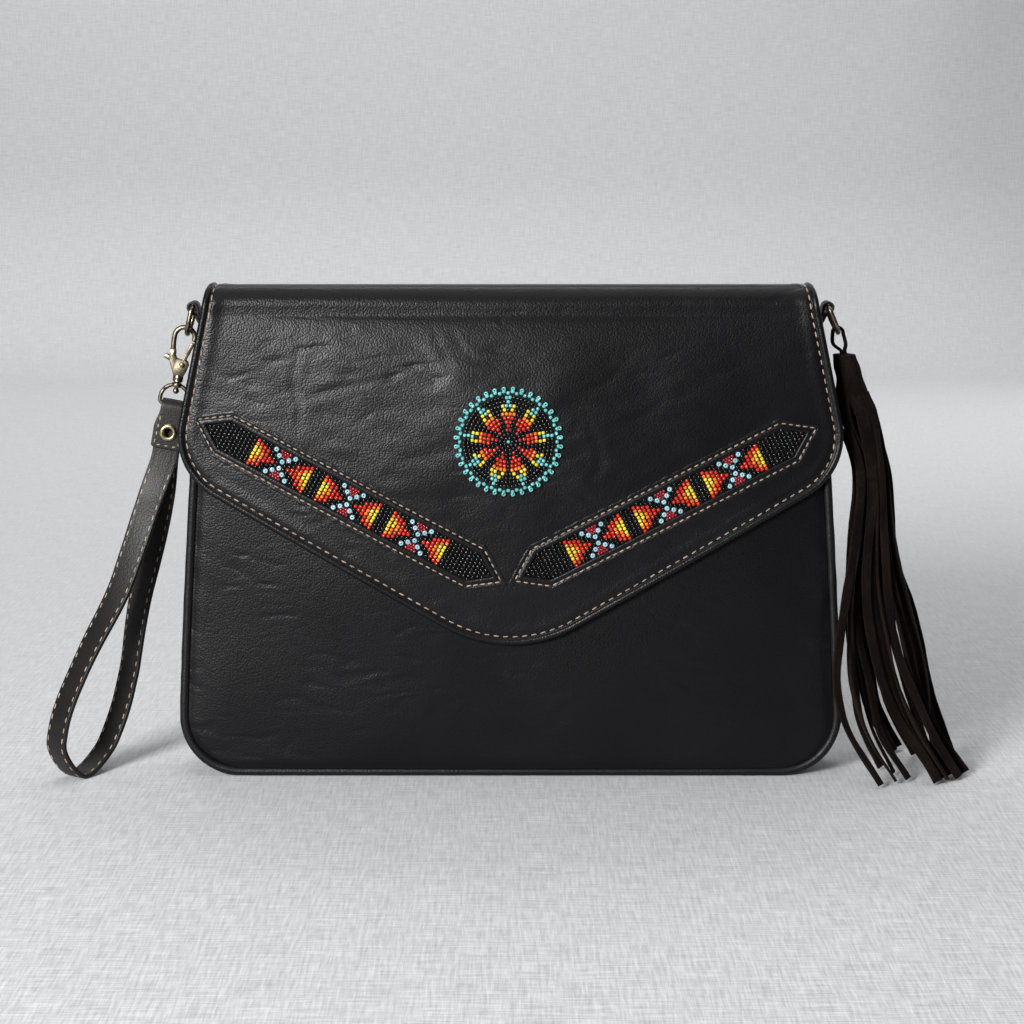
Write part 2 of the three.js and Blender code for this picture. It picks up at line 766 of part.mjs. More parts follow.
// Magnetic snap, in the order of its stack from the pocket outwards.
const pocketSideAt = (x, z) => panelFaceAt(x, z) - panelThick - clear - backingThick;
const socketSeatAt = (x, z) => panelFaceAt(x, z) + clear;
const studSeatAt = (x, z) => flapInnerAt(x, z) - clear - studPlateThick;
addPiece(
  "snap_socket_backing",
  layOn(pocketSideAt, snapDisc(snapRadius, backingThick), rosetteX, rosetteZ),
  springSteel,
);
const socketHole = studRadius + clear;
addPiece(
  "snap_socket",
  layOn(socketSeatAt, snapDisc(snapRadius, socketThick, socketHole), rosetteX, rosetteZ),
  antiqueBrass,
);
const studProfile = [
  [0, -studReach],
  [studRadius, -studReach],
  [studRadius, 0],
  [snapRadius, 0],
  [snapRadius, studPlateThick],
  [0, studPlateThick],
].map(lathePoint);
const stud = new THREE.LatheGeometry(studProfile, 24);
addPiece("snap_stud", layOn(studSeatAt, stud, rosetteX, rosetteZ), antiqueBrass, flap);

// Ring tabs and D-rings, one of each on either side.
const barHeight = mouthHeight + 3.5;
const barX = halfWidthAt(barHeight) + ringOutboard;
const alongY = new THREE.Vector3(0, 1, 0);

function ringTab(side) {
  const legX = (z) => halfWidthAt(z) - gussetThick - clear - ringTabLayers / 2;
  const overZ = gussetTop + clear + ringTabLayers / 2;
  const path = [
    [legX(gussetTop - ringTabTail), gussetTop - ringTabTail],
    [legX(gussetTop - 10), gussetTop - 10],
    [legX(gussetTop - 2), gussetTop - 2],
    [legX(gussetTop) + 0.6, overZ],
    [halfWidthAt(gussetTop), overZ + 2.6],
    [barX - 1.5, barHeight - 1],
  ].map(([x, z]) => new THREE.Vector3(side * x, 0, z));
  const points = curveThrough(path, 12);
  const band = bandAlong(points, points.map(() => alongY), points.map(() => ringTabWidth), ringTabLayers);
  const bore = ringWire + clear;
  const loopRadius = bore + ringTabLayers * 0.65;
  const barrel = (radius, length) =>
    new THREE.CylinderGeometry(radius, radius, length, 20).translate(side * barX, 0, barHeight);
  return cut(join(band, barrel(loopRadius, ringTabWidth)), barrel(bore, ringTabWidth * 2));
}

// A D-ring that hangs from its bar: the bar is the group's origin and the ring hangs along -Z.
function dRing() {
  const centre = new THREE.Vector2(0, -ringLeg);
  const corner = 2;
  const bow = arcPoints(centre, ringHalfWidth, 0, -180, 13);
  const flat = [
    ...roundedLine(
      [bow[12], new THREE.Vector2(-ringHalfWidth, 0), new THREE.Vector2(ringHalfWidth, 0), bow[0]],
      [0, corner, corner, 0],
      3,
    ).slice(1, -1),
    ...bow,
  ];
  const points = flat.map((point) => new THREE.Vector3(0, point.x, point.y));
  return wireAlong(points, ringWire, new THREE.Vector3(1, 0, 0), 8, true);
}

const ringDrop = ringLeg + ringHalfWidth;

function placedRing(name, side, lean) {
  const group = new THREE.Group();
  group.position.set(side * barX, 0, barHeight);
  group.rotation.y = -side * THREE.MathUtils.degToRad(lean);
  bag.add(group);
  addPiece(name, dRing(), antiqueBrass, group);
  return new THREE.Vector3(0, 0, -ringDrop).applyEuler(group.rotation).add(group.position);
}

addPiece("left_ring_tab", ringTab(-1), leatherBlack);
addPiece("right_ring_tab", ringTab(1), leatherBlack);
const leftRingFoot = placedRing("left_d_ring", -1, leftRingLean);
const rightRingFoot = placedRing("right_d_ring", 1, rightRingLean);

// The clasp's own frame: X across it, Y through it, and -Z down its length from the ring's wire.
const clasp = new THREE.Group();
clasp.position.copy(leftRingFoot);
clasp.rotation.y = THREE.MathUtils.degToRad(claspLean);
const hookRoom = hookRadius - hookWire - ringWire - clear; // from the ring's wire to the middle of the bow
const ringSeat = THREE.MathUtils.degToRad(seatTurn);
clasp.translateX(-hookRoom * Math.sin(ringSeat));
clasp.translateZ(hookRoom * (1 - Math.cos(ringSeat)));
bag.add(clasp);
clasp.updateMatrixWorld(true);

const hookCentre = new THREE.Vector2(0, -hookRoom);
const inPlane = (point) => new THREE.Vector3(point.x, 0, point.y);

// A plate in the clasp's plane, between two distances along Y.
function claspPlate(outline, fromY, toY) {
  const shape = new THREE.Shape(outline.map(([p, q]) => new THREE.Vector2(p, q)));
  const plate = new THREE.ExtrudeGeometry(shape, { depth: toY - fromY, bevelEnabled: false, steps: 1 });
  return plate.rotateX(Math.PI / 2).translate(0, toY, 0);
}

function claspPin(radius, length, p, q) {
  return new THREE.CylinderGeometry(radius, radius, length, 14).translate(p, 0, q);
}

// Turned pieces on the clasp's long axis: radius and height pairs from the bottom up.
function claspTurned(profile, sides = 16) {
  return new THREE.LatheGeometry(profile.map(lathePoint), sides).rotateX(Math.PI / 2);
}

const collarBottom = plateBottom + collarLength;
const hubTop = collarBottom + clear;
const ballTop = hubTop + hubLength + clear;
const tipTurn = -8;

function hookGeometry() {
  const bow = arcPoints(hookCentre, hookRadius, tipTurn, 180, 13).map(inPlane);
  const spine = [
    [-hookRadius, hookCentre.y - 3],
    [-hookRadius + 0.4, -plateTop],
    [-hookRadius + 1, -plateTop - 2],
  ].map(([p, q]) => new THREE.Vector3(p, 0, q));
  const wire = wireAlong([...bow, ...spine], hookWire, alongY, 8);
  const plate = claspPlate(
    [
      [-hookRadius - 1.2, -plateTop],
      [-hookRadius + 1.7, -plateTop],
      [-hookRadius + 2.2, -plateTop - 3],
      [gatePivot.p + 2.5, gatePivot.q + 2.6],
      [gatePivot.p + 3, gatePivot.q],
      [gatePivot.p + 2.2, gatePivot.q - 3.2],
      [collarRadius - 0.3, -plateBottom],
      [-collarRadius + 0.3, -plateBottom],
      [-collarRadius - 1.3, gatePivot.q - 2.6],
      [-hookRadius - 0.6, gatePivot.q + 1.2],
    ],
    -cheekReach,
    cheekReach,
  );
  const slot = claspPlate(
    [
      [-12, -plateTop - 2.6],
      [12, -plateTop - 2.6],
      [12, gatePivot.q - 2.8],
      [-12, gatePivot.q - 2.8],
    ],
    -slotReach,
    slotReach,
  );
  const ballMiddle = ballTop + ballRadius;
  const ballArc = arcPoints(new THREE.Vector2(0, -ballMiddle), ballRadius, -90, 50, 7);
  const ball = ballArc.map((v) => [Math.max(v.x, 0), v.y]);
  const collar = claspTurned([
    ...ball,
    [stemRadius, -ballTop - 0.1],
    [stemRadius, -collarBottom],
    [collarRadius, -collarBottom],
    [collarRadius, -plateBottom + 0.4],
    [collarRadius - 0.6, -plateBottom + 1],
    [0, -plateBottom + 1],
  ]);
  const pinHole = claspPin(pinRadius + clear, 12, gatePivot.p, gatePivot.q);
  return cut(join(wire, plate, collar), slot, pinHole);
}

const gateY = [-slotReach + clear, -slotReach + clear + gateThick];
const gateTip = arcPoints(hookCentre, hookRadius, tipTurn - 18, tipTurn - 18, 2)[0];

// A bar of the gate between two points of the clasp's plane.
function gateBar(from, to, half, fromY, toY) {
  const along = to.clone().sub(from).normalize();
  const [sx, sy] = [-along.y * half, along.x * half];
  const outline = [
    [from.x - sx, from.y - sy],
    [to.x - sx, to.y - sy],
    [to.x + sx, to.y + sy],
    [from.x + sx, from.y + sy],
  ];
  return claspPlate(outline, fromY, toY);
}

function gateGeometry() {
  const pivot = new THREE.Vector2(gatePivot.p, gatePivot.q);
  const armFoot = pivot.clone().lerp(gateTip, 0.45);
  const leverTip = new THREE.Vector2(-8.4, gatePivot.q + 3.3);
  const leverNeck = pivot.clone().lerp(leverTip, 0.78);
  const middle = (gateY[0] + gateY[1]) / 2;
  const boss = new THREE.CylinderGeometry(1.9, 1.9, gateThick, 16).translate(pivot.x, middle, pivot.y);
  const arm = gateBar(pivot, gateTip, 0.85, ...gateY);
  const armHead = gateBar(armFoot, gateTip, 1, -1.1, 1.1);
  const lever = gateBar(pivot, leverTip, 0.9, ...gateY);
  const thumb = gateBar(leverNeck, leverTip, 1.3, -1.5, 1.5);
  const bore = claspPin(pinRadius + clear, 12, pivot.x, pivot.y);
  return cut(join(boss, arm, armHead, lever, thumb), bore);
}

function pinGeometry() {
  const head = cheekReach + clear;
  const profile = [
    [0, -head - 0.5],
    [pinRadius + 0.6, -head - 0.2],
    [pinRadius + 0.6, -head],
    [pinRadius, -head],
    [pinRadius, head],
    [pinRadius + 0.6, head],
    [pinRadius + 0.6, head + 0.2],
    [0, head + 0.5],
  ];
  return new THREE.LatheGeometry(profile.map(lathePoint), 14).translate(gatePivot.p, 0, gatePivot.q);
}

function gateSpringGeometry() {
  const from = gateY[1] + clear;
  const to = slotReach - clear;
  const [inner, outer] = [pinRadius + clear, pinRadius + clear + 0.7];
  const profile = [
    [inner, from],
    [outer, from],
    [outer, to],
    [inner, to],
    [inner, from],
  ];
  return new THREE.LatheGeometry(profile.map(lathePoint), 14).translate(gatePivot.p, 0, gatePivot.q);
}

addPiece("hook_body", hookGeometry(), antiqueBrass, clasp);
addPiece("hook_gate", gateGeometry(), antiqueBrass, clasp);
addPiece("gate_pin", pinGeometry(), antiqueBrass, clasp);
addPiece("gate_spring", gateSpringGeometry(), springSteel, clasp);

// The swivel eye: a hub round the hook's stem, and a D of wire with its bar below.
const hubMiddle = hubTop + hubLength / 2;
const eyeCentre = hubMiddle + eyeRadius;
const eyeBar = eyeCentre + eyeLeg;

function eyeGeometry() {
  const bow = arcPoints(new THREE.Vector2(0, -eyeCentre), eyeRadius, 0, 180, 15);
  const foot = roundedLine(
    [bow[14], new THREE.Vector2(-eyeRadius, -eyeBar), new THREE.Vector2(eyeRadius, -eyeBar), bow[0]],
    [0, 1.6, 1.6, 0],
    3,
  );
  const wire = wireAlong([...bow, ...foot.slice(1, -1)].map(inPlane), eyeWire, alongY, 8, true);
  const hub = claspTurned([
    [0, -hubTop - hubLength],
    [hubRadius, -hubTop - hubLength],
    [hubRadius, -hubTop],
    [0, -hubTop],
  ]);
  const bore = claspTurned([
    [0, -ballTop - 0.2],
    [stemRadius + clear, -ballTop - 0.2],
    [stemRadius + clear, -collarBottom],
    [0, -collarBottom],
  ]);
  return cut(join(wire, hub), bore);
}

addPiece("swivel_eye", eyeGeometry(), antiqueBrass, clasp);

// The strap tab: a strip folded over the eye's bar, wide below and narrow inside the eye.
const tabRoom = (2 * strapThick + 3 * clear) / 2; // half the space between its layers
const tabMiddle = tabRoom + strapTabThick / 2;
const foldCentre = eyeBar - eyeWire - clear + tabRoom;
const tabTop = foldCentre - tabRoom - strapTabThick;
const tabBottom = tabTop + strapTabLength;
const eyeletDepth = tabTop + eyeletDrop;
const strapHole = eyeletHole + 0.5 + clear; // radius of the hole in leather round the eyelet's barrel

function punch() {
  const through = 4 * (tabMiddle + strapTabThick);
  return new THREE.CylinderGeometry(strapHole, strapHole, through, 20).translate(0, 0, -eyeletDepth);
}

function strapTabGeometry() {
  const neckEnd = foldCentre + 1.5;
  const front = [tabBottom, neckEnd + 8, neckEnd + 3, neckEnd].map((q) => new THREE.Vector2(-tabMiddle, -q));
  const fold = arcPoints(new THREE.Vector2(0, -foldCentre), tabMiddle, 180, 0, 9);
  const back = front.map((point) => new THREE.Vector2(-point.x, point.y)).reverse();
  const path = [...front, ...fold, ...back].map((point) => new THREE.Vector3(0, point.x, point.y));
  const widths = path.map((point) => {
    const below = -point.z - neckEnd;
    return THREE.MathUtils.lerp(strapTabNeck, strapTabWidth, THREE.MathUtils.clamp(below / 3, 0, 1));
  });
  const across = path.map(() => new THREE.Vector3(1, 0, 0));
  return cut(bandAlong(path, across, widths, strapTabThick), punch());
}

addPiece("strap_tab", strapTabGeometry(), leatherBlack, clasp);

// The wrist strap's middle line: out of the tab, down to the floor in front, and back up behind.
const claspPoint = (y, q) => clasp.localToWorld(new THREE.Vector3(0, y, -q));
const strapSeat = strapThick / 2 + clear / 2;
const strapEnd = tabTop + strapTabThick + 2 * tabRoom + 2.5;
const floorLift = strapThick / 2 + 0.2;
const strapFall = 160.1; // height of the tab's lower edge for which the loop's points are given
const strapFront = [
  [-6.6, -5, -21],
  [-12.1, -10, -37.6],
  [-20, -15.5, -61.5],
  [-24.6, -18, -72.5],
  [-35.3, -22.5, -93.2],
  [-41.4, -25.5, -106],
  [-47.6, -28, -120.8],
  [-51.4, -29.5, -134.3],
  [-52.2, -29, -144.5],
];
const strapFloor = [-44.5, -21];
const strapBack = [
  [-34.2, -5, -150.5],
  [-29.8, -1, -141.6],
  [-25.5, 2, -128.2],
  [-21.8, 3.5, -113],
  [-19.4, 4, -99.2],
  [-15.8, 4.5, -77.1],
  [-10.5, 4.5, -56.6],
  [-6.5, 4, -39.8],
  [-3, 3, -22.5],
];

function strapPath() {
  const exit = claspPoint(0, tabBottom);
  const reach = exit.z / strapFall; // the loop keeps its foot on the floor
  const loop = ([x, y, z]) => new THREE.Vector3(x, y, z).multiplyScalar(reach).add(exit);
  const floor = loop([...strapFloor, 0]).setZ(floorLift);
  const controls = [
    claspPoint(-strapSeat, strapEnd),
    claspPoint(-strapSeat, eyeletDepth),
    claspPoint(-strapSeat, tabBottom - 2),
    claspPoint(-strapSeat - 0.5, tabBottom + 5),
    ...strapFront.map(loop),
    floor,
    ...strapBack.map(loop),
    claspPoint(strapSeat + 0.4, tabBottom + 5),
    claspPoint(strapSeat, tabBottom - 2),
    claspPoint(strapSeat, eyeletDepth),
    claspPoint(strapSeat, strapEnd),
  ];
  return curveThrough(controls, 64);
}

const strapTwist = 38; // degrees, the loop's turn between the tab and the floor

function strapGeometry() {
  const points = strapPath();
  const exit = claspPoint(0, tabBottom);
  const claspAcross = new THREE.Vector3(1, 0, 0).applyEuler(clasp.rotation);
  const across = points.map((point) => {
    const down = THREE.MathUtils.clamp((exit.z - point.z) / (exit.z * 0.65), 0, 1);
    const turn = -THREE.MathUtils.degToRad(strapTwist) * down;
    const turned = new THREE.Vector3(Math.cos(turn), Math.sin(turn), 0);
    return claspAcross.clone().lerp(turned, Math.min(down * 4, 1));
  });
  const band = bandAlong(points, across, points.map(() => strapWidth), strapThick);
  return cut(band, punch().applyMatrix4(clasp.matrixWorld));
}

addPiece("wrist_strap", strapGeometry(), leatherBlack);

// The eyelet: a flanged barrel rolled over a washer behind the tab.
const stackHalf = tabRoom + strapTabThick + clear;
const barrel = eyeletHole + 0.5;
const washerThick = 0.6;

function eyeletProfile() {
  const flare = stackHalf + washerThick + clear;
  return [
    [eyeletHole, -stackHalf - 0.5],
    [eyeletHole + 1, -stackHalf - 1],
    [eyeletFlange - 0.6, -stackHalf - 0.7],
    [eyeletFlange, -stackHalf],
    [barrel, -stackHalf],
    [barrel, flare],
    [barrel + 0.9, flare],
    [barrel + 0.4, flare + 0.6],
    [eyeletHole, flare + 0.4],
    [eyeletHole, -stackHalf - 0.5],
  ];
}

function onEyelet(profile) {
  return new THREE.LatheGeometry(profile.map(lathePoint), 20).translate(0, 0, -eyeletDepth);
}

addPiece("eyelet", onEyelet(eyeletProfile()), antiqueBrass, clasp);
const washerProfile = [
  [strapHole, stackHalf],
  [eyeletFlange, stackHalf],
  [eyeletFlange, stackHalf + washerThick],
  [strapHole, stackHalf + washerThick],
  [strapHole, stackHalf],
];
addPiece("eyelet_washer", onEyelet(washerProfile), antiqueBrass, clasp);

// Tassel: a thong loop over the right ring, and one rolled strip of suede cut into strands.
const tassel = new THREE.Group();
bag.add(tassel);
const tasselTilt = THREE.MathUtils.degToRad(tasselLean);
const tasselAxis = new THREE.Vector3(Math.sin(tasselTilt), 0, -Math.cos(tasselTilt));
const headTop = new THREE.Vector3(rightRingFoot.x + 3.1, 0, rightRingFoot.z - tasselHeadDrop);
const thongDepth = 7; // how far the thong's ends reach into the head

function thongGeometry() {
  const { x, z } = rightRingFoot;
  const ringRise = ringHalfWidth - Math.sqrt(ringHalfWidth ** 2 - thongWidth ** 2 / 4);
  const bend = ringWire + ringRise + clear + thongThick / 2;
  const over = arcPoints(new THREE.Vector2(x, z), bend, 0, 170, 9).map(inPlane);
  const seat = thongThick / 2 + clear / 2;
  const square = new THREE.Vector3(Math.cos(tasselTilt), 0, Math.sin(tasselTilt));
  const inHead = (side, depth) =>
    headTop
      .clone()
      .addScaledVector(tasselAxis, depth)
      .addScaledVector(square, side * seat);
  const leg = (side, dx, dz) => [
    new THREE.Vector3(x + dx, 0, z + dz),
    inHead(side, -2),
    inHead(side, 0),
    inHead(side, thongDepth),
  ];
  const right = leg(1, 4, -6);
  const left = leg(-1, -2.2, -5.5);
  const points = [
    ...curveThrough([...left.reverse(), over[8]], 9).slice(0, -1),
    ...over.slice().reverse(),
    ...curveThrough([over[0], ...right], 9).slice(1),
  ];
  return bandAlong(points, points.map(() => alongY), points.map(() => thongWidth), thongThick);
}

addPiece("tassel_thong", thongGeometry(), suedeBrown, tassel);

// Where each strand lies, across and towards the back, measured from the foot of the ring:
// at hip, knee and ankle height, and at its foot on the floor. The hip is 150 high for these places.
const hipHeight = headTop.z - hipDrop;
const fanScale = hipHeight / 150;
const strandHeights = { hip: hipHeight, knee: hipHeight / 2, ankle: hipHeight / 5, foot: 1.8 };
const strands = [
  { hip: [12, -5], knee: [0.5, -27], ankle: [3, -31], foot: [21, -42], turn: 20 },
  { hip: [17, -7], knee: [14.5, -20], ankle: [30.5, -28], foot: [48, -36], turn: -5 },
  { hip: [22.5, -5], knee: [28.5, -14], ankle: [43, -22], foot: [60, -28], turn: 15 },
  { hip: [26, 2], knee: [41, 5], ankle: [50.5, 6], foot: [54.5, 8], turn: 55 },
  { hip: [21.5, -1], knee: [34, -4], ankle: [47, -10], foot: [64.5, -18], turn: -25 },
  { hip: [15, -2], knee: [12, -12], ankle: [20, -22], foot: [35, -30], turn: 35 },
  { hip: [10, 2], knee: [8, -4], ankle: [13, -8], foot: [25, -9], turn: 10 },
  { hip: [20, 3], knee: [24.5, 0], ankle: [36.5, -8], foot: [55.5, -24], turn: -15 },
  { hip: [25.5, 6], knee: [38.5, 8], ankle: [47, 6], foot: [59, 2], turn: 40 },
  { hip: [17.5, 6], knee: [22, 12], ankle: [31, 16], foot: [46.5, 18], turn: -30 },
  { hip: [12.5, 6], knee: [13.5, 12], ankle: [21, 18], foot: [36.5, 24], turn: 5 },
  { hip: [22, 9], knee: [31.5, 18], ankle: [43, 22], foot: [55, 27], turn: 25 },
  { hip: [16, 9], knee: [19, 20], ankle: [26.5, 27], foot: [40.5, 33], turn: -10 },
  { hip: [26.5, 7], knee: [42.5, 12], ankle: [53, 12], foot: [64.5, 11], turn: -40 },
];

function strandGeometry(strand) {
  const place = ([x, y], height) => {
    return new THREE.Vector3(rightRingFoot.x + x * fanScale, y * fanScale, height);
  };
  const skirt = headTop.clone().addScaledVector(tasselAxis, tasselHeadLength - 4);
  const hip = place(strand.hip, strandHeights.hip);
  const under = headTop.clone().addScaledVector(tasselAxis, (headTop.z - hip.z) / -tasselAxis.z);
  const root = skirt.clone().add(hip.clone().sub(under).multiplyScalar(strandGather));
  const knee = place(strand.knee, strandHeights.knee);
  const controls = [
    root,
    hip,
    hip.clone().lerp(knee, strandHang).setZ((hip.z + knee.z) / 2),
    knee,
    place(strand.ankle, strandHeights.ankle),
    place(strand.foot, strandHeights.foot),
  ];
  const points = curveThrough(controls, 10);
  const across = points.map((_, k) => {
    const turn = THREE.MathUtils.degToRad(strand.turn + strandTwist * (k / 10));
    return new THREE.Vector3(Math.cos(turn), Math.sin(turn), 0);
  });
  return bandAlong(points, across, points.map(() => strandWidth), strandThick);
}

function tasselGeometry() {
  const rings = steps(4).map((s) => {
    const middle = headTop.clone().addScaledVector(tasselAxis, s * tasselHeadLength);
    const radius = THREE.MathUtils.lerp(tasselHeadRadius, tasselSkirtRadius, s);
    return steps(16)
      .slice(1)
      .map((t) => {
        const turn = t * 2 * Math.PI;
        return new THREE.Vector3(radius * Math.cos(turn), radius * Math.sin(turn) * 0.85, 0).add(middle);
      });
  });
  const seat = 2 * thongThick + 3 * clear;
  const socket = new THREE.BoxGeometry(seat, thongWidth + 2 * clear, (thongDepth + clear) * 2);
  socket.rotateY(-tasselTilt).translate(headTop.x, headTop.y, headTop.z);
  return cut(filled(join(loft(rings), ...strands.map(strandGeometry))), socket);
}

addPiece("tassel_fringe", tasselGeometry(), suedeBrown, tassel);

export default bag;
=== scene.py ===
import math
import bmesh
import bpy
import numpy as np
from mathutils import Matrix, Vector


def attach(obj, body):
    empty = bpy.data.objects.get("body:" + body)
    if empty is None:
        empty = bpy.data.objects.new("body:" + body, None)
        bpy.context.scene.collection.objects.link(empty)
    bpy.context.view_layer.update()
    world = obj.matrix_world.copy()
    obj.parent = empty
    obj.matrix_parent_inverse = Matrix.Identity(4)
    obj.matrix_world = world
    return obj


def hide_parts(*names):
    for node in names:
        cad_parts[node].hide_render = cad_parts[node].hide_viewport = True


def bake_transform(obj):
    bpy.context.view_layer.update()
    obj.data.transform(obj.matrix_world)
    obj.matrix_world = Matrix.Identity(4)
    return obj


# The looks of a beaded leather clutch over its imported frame.
# Shapes are worked out in millimetres, +Z up, with the flap facing -Y, and turned to metres when a mesh is made.

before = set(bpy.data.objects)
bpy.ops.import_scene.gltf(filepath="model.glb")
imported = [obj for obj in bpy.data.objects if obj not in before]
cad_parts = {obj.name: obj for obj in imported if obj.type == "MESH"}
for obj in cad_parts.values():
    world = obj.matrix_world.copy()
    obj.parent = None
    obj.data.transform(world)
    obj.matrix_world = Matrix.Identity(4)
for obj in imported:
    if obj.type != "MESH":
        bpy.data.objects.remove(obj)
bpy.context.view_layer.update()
print("frame loaded")

shot = {
    "eye": (0.7, -1175.6, 315.4),
    "aim": (0.7, -20.0, 132.4),
    "lens": 84.7,
}


def makeCamera():
    lens = bpy.data.cameras.new("camera")
    lens.lens = shot["lens"]
    camera = bpy.data.objects.new("camera", lens)
    bpy.context.scene.collection.objects.link(camera)
    camera.location = Vector(shot["eye"]) * 0.001
    camera.rotation_mode = "QUATERNION"
    camera.rotation_quaternion = (Vector(shot["aim"]) - Vector(shot["eye"])).to_track_quat("-Z", "Y")
    bpy.context.scene.camera = camera


makeCamera()
bpy.context.scene.view_settings.view_transform = "Standard"

# Small tools for curves and surfaces, on arrays of points


def unit(vectors):
    return vectors / np.maximum(np.linalg.norm(vectors, axis=-1, keepdims=True), 1e-9)


def smoothStep(low, high, value):
    t = np.clip((value - low) / (high - low), 0, 1)
    return t * t * (3 - 2 * t)


def lengthsAlong(path):
    return np.concatenate([[0], np.cumsum(np.linalg.norm(np.diff(path, axis=0), axis=1))])


def atLengths(path, lengths):  # points of a polyline at the given lengths from its start
    run = lengthsAlong(path)
    return np.stack([np.interp(lengths, run, path[:, i]) for i in range(path.shape[1])], 1)


def evenly(path, count):
    return atLengths(path, np.linspace(0, lengthsAlong(path)[-1], count + 1))


def curveThrough(points, count):  # centripetal curve through the points, evenly spaced
    given = np.array(points, float)
    given = np.vstack([2 * given[0] - given[1], given, 2 * given[-1] - given[-2]])
    spans = []
    for i in range(1, len(given) - 2):
        a, b, c, d = given[i - 1 : i + 3]
        ab, bc, cd = (max(np.linalg.norm(q - p) ** 0.5, 1e-4) for p, q in ((a, b), (b, c), (c, d)))
        leave = ((b - a) / ab - (c - a) / (ab + bc) + (c - b) / bc) * bc
        arrive = ((c - b) / bc - (d - b) / (bc + cd) + (d - c) / cd) * bc
        t = np.linspace(0, 1, 24, endpoint=False)[:, None]
        cubic = 2 * b - 2 * c + leave + arrive
        spans.append(cubic * t**3 + (3 * c - 3 * b - 2 * leave - arrive) * t**2 + leave * t + b)
    return evenly(np.vstack([*spans, given[-2:-1]]), count)


def arc(centre, radius, fromDegrees, toDegrees, count):
    turn = np.radians(np.linspace(fromDegrees, toDegrees, count))
    return np.stack([centre[0] + radius * np.cos(turn), centre[1] + radius * np.sin(turn)], 1)


def roundedLine(corners, radii, arcSteps=8):  # plane polyline with its inner corners rounded
    corners = [np.array(c, float) for c in corners]
    line = [corners[0]]
    for i in range(1, len(corners) - 1):
        back = unit(corners[i - 1] - corners[i])
        ahead = unit(corners[i + 1] - corners[i])
        half = math.acos(np.clip(back @ ahead, -1, 1)) / 2
        centre = corners[i] + unit(back + ahead) * radii[i] / math.sin(half)
        start = corners[i] + back * radii[i] / math.tan(half) - centre
        end = corners[i] + ahead * radii[i] / math.tan(half) - centre
        sweepAngle = math.atan2(start[0] * end[1] - start[1] * end[0], start @ end)
        for s in np.linspace(0, 1, arcSteps + 1):
            c, n = math.cos(sweepAngle * s), math.sin(sweepAngle * s)
            line.append(centre + np.array([start[0] * c - start[1] * n, start[0] * n + start[1] * c]))
    line.append(corners[-1])
    return np.array(line)


def ripples(u, v, wavelength, seed, count=18):  # soft uneven waves of about -1 to 1
    rng = np.random.default_rng(seed)
    total = np.zeros(np.broadcast(u, v).shape)
    for _ in range(count):
        turn = rng.uniform(0, 2 * math.pi)
        k = 2 * math.pi / (wavelength * rng.uniform(0.7, 1.5))
        total += np.sin(k * (u * math.cos(turn) + v * math.sin(turn)) + rng.uniform(0, 2 * math.pi))
    return total / math.sqrt(count)


def distanceTo(line, x, z):  # from many plane points to a polyline
    best = np.full(np.shape(x), 1e9)
    for (ax, az), (bx, bz) in zip(line[:-1], line[1:]):
        dx, dz = bx - ax, bz - az
        t = np.clip(((x - ax) * dx + (z - az) * dz) / max(dx * dx + dz * dz, 1e-9), 0, 1)
        best = np.minimum(best, np.hypot(x - ax - t * dx, z - az - t * dz))
    return best


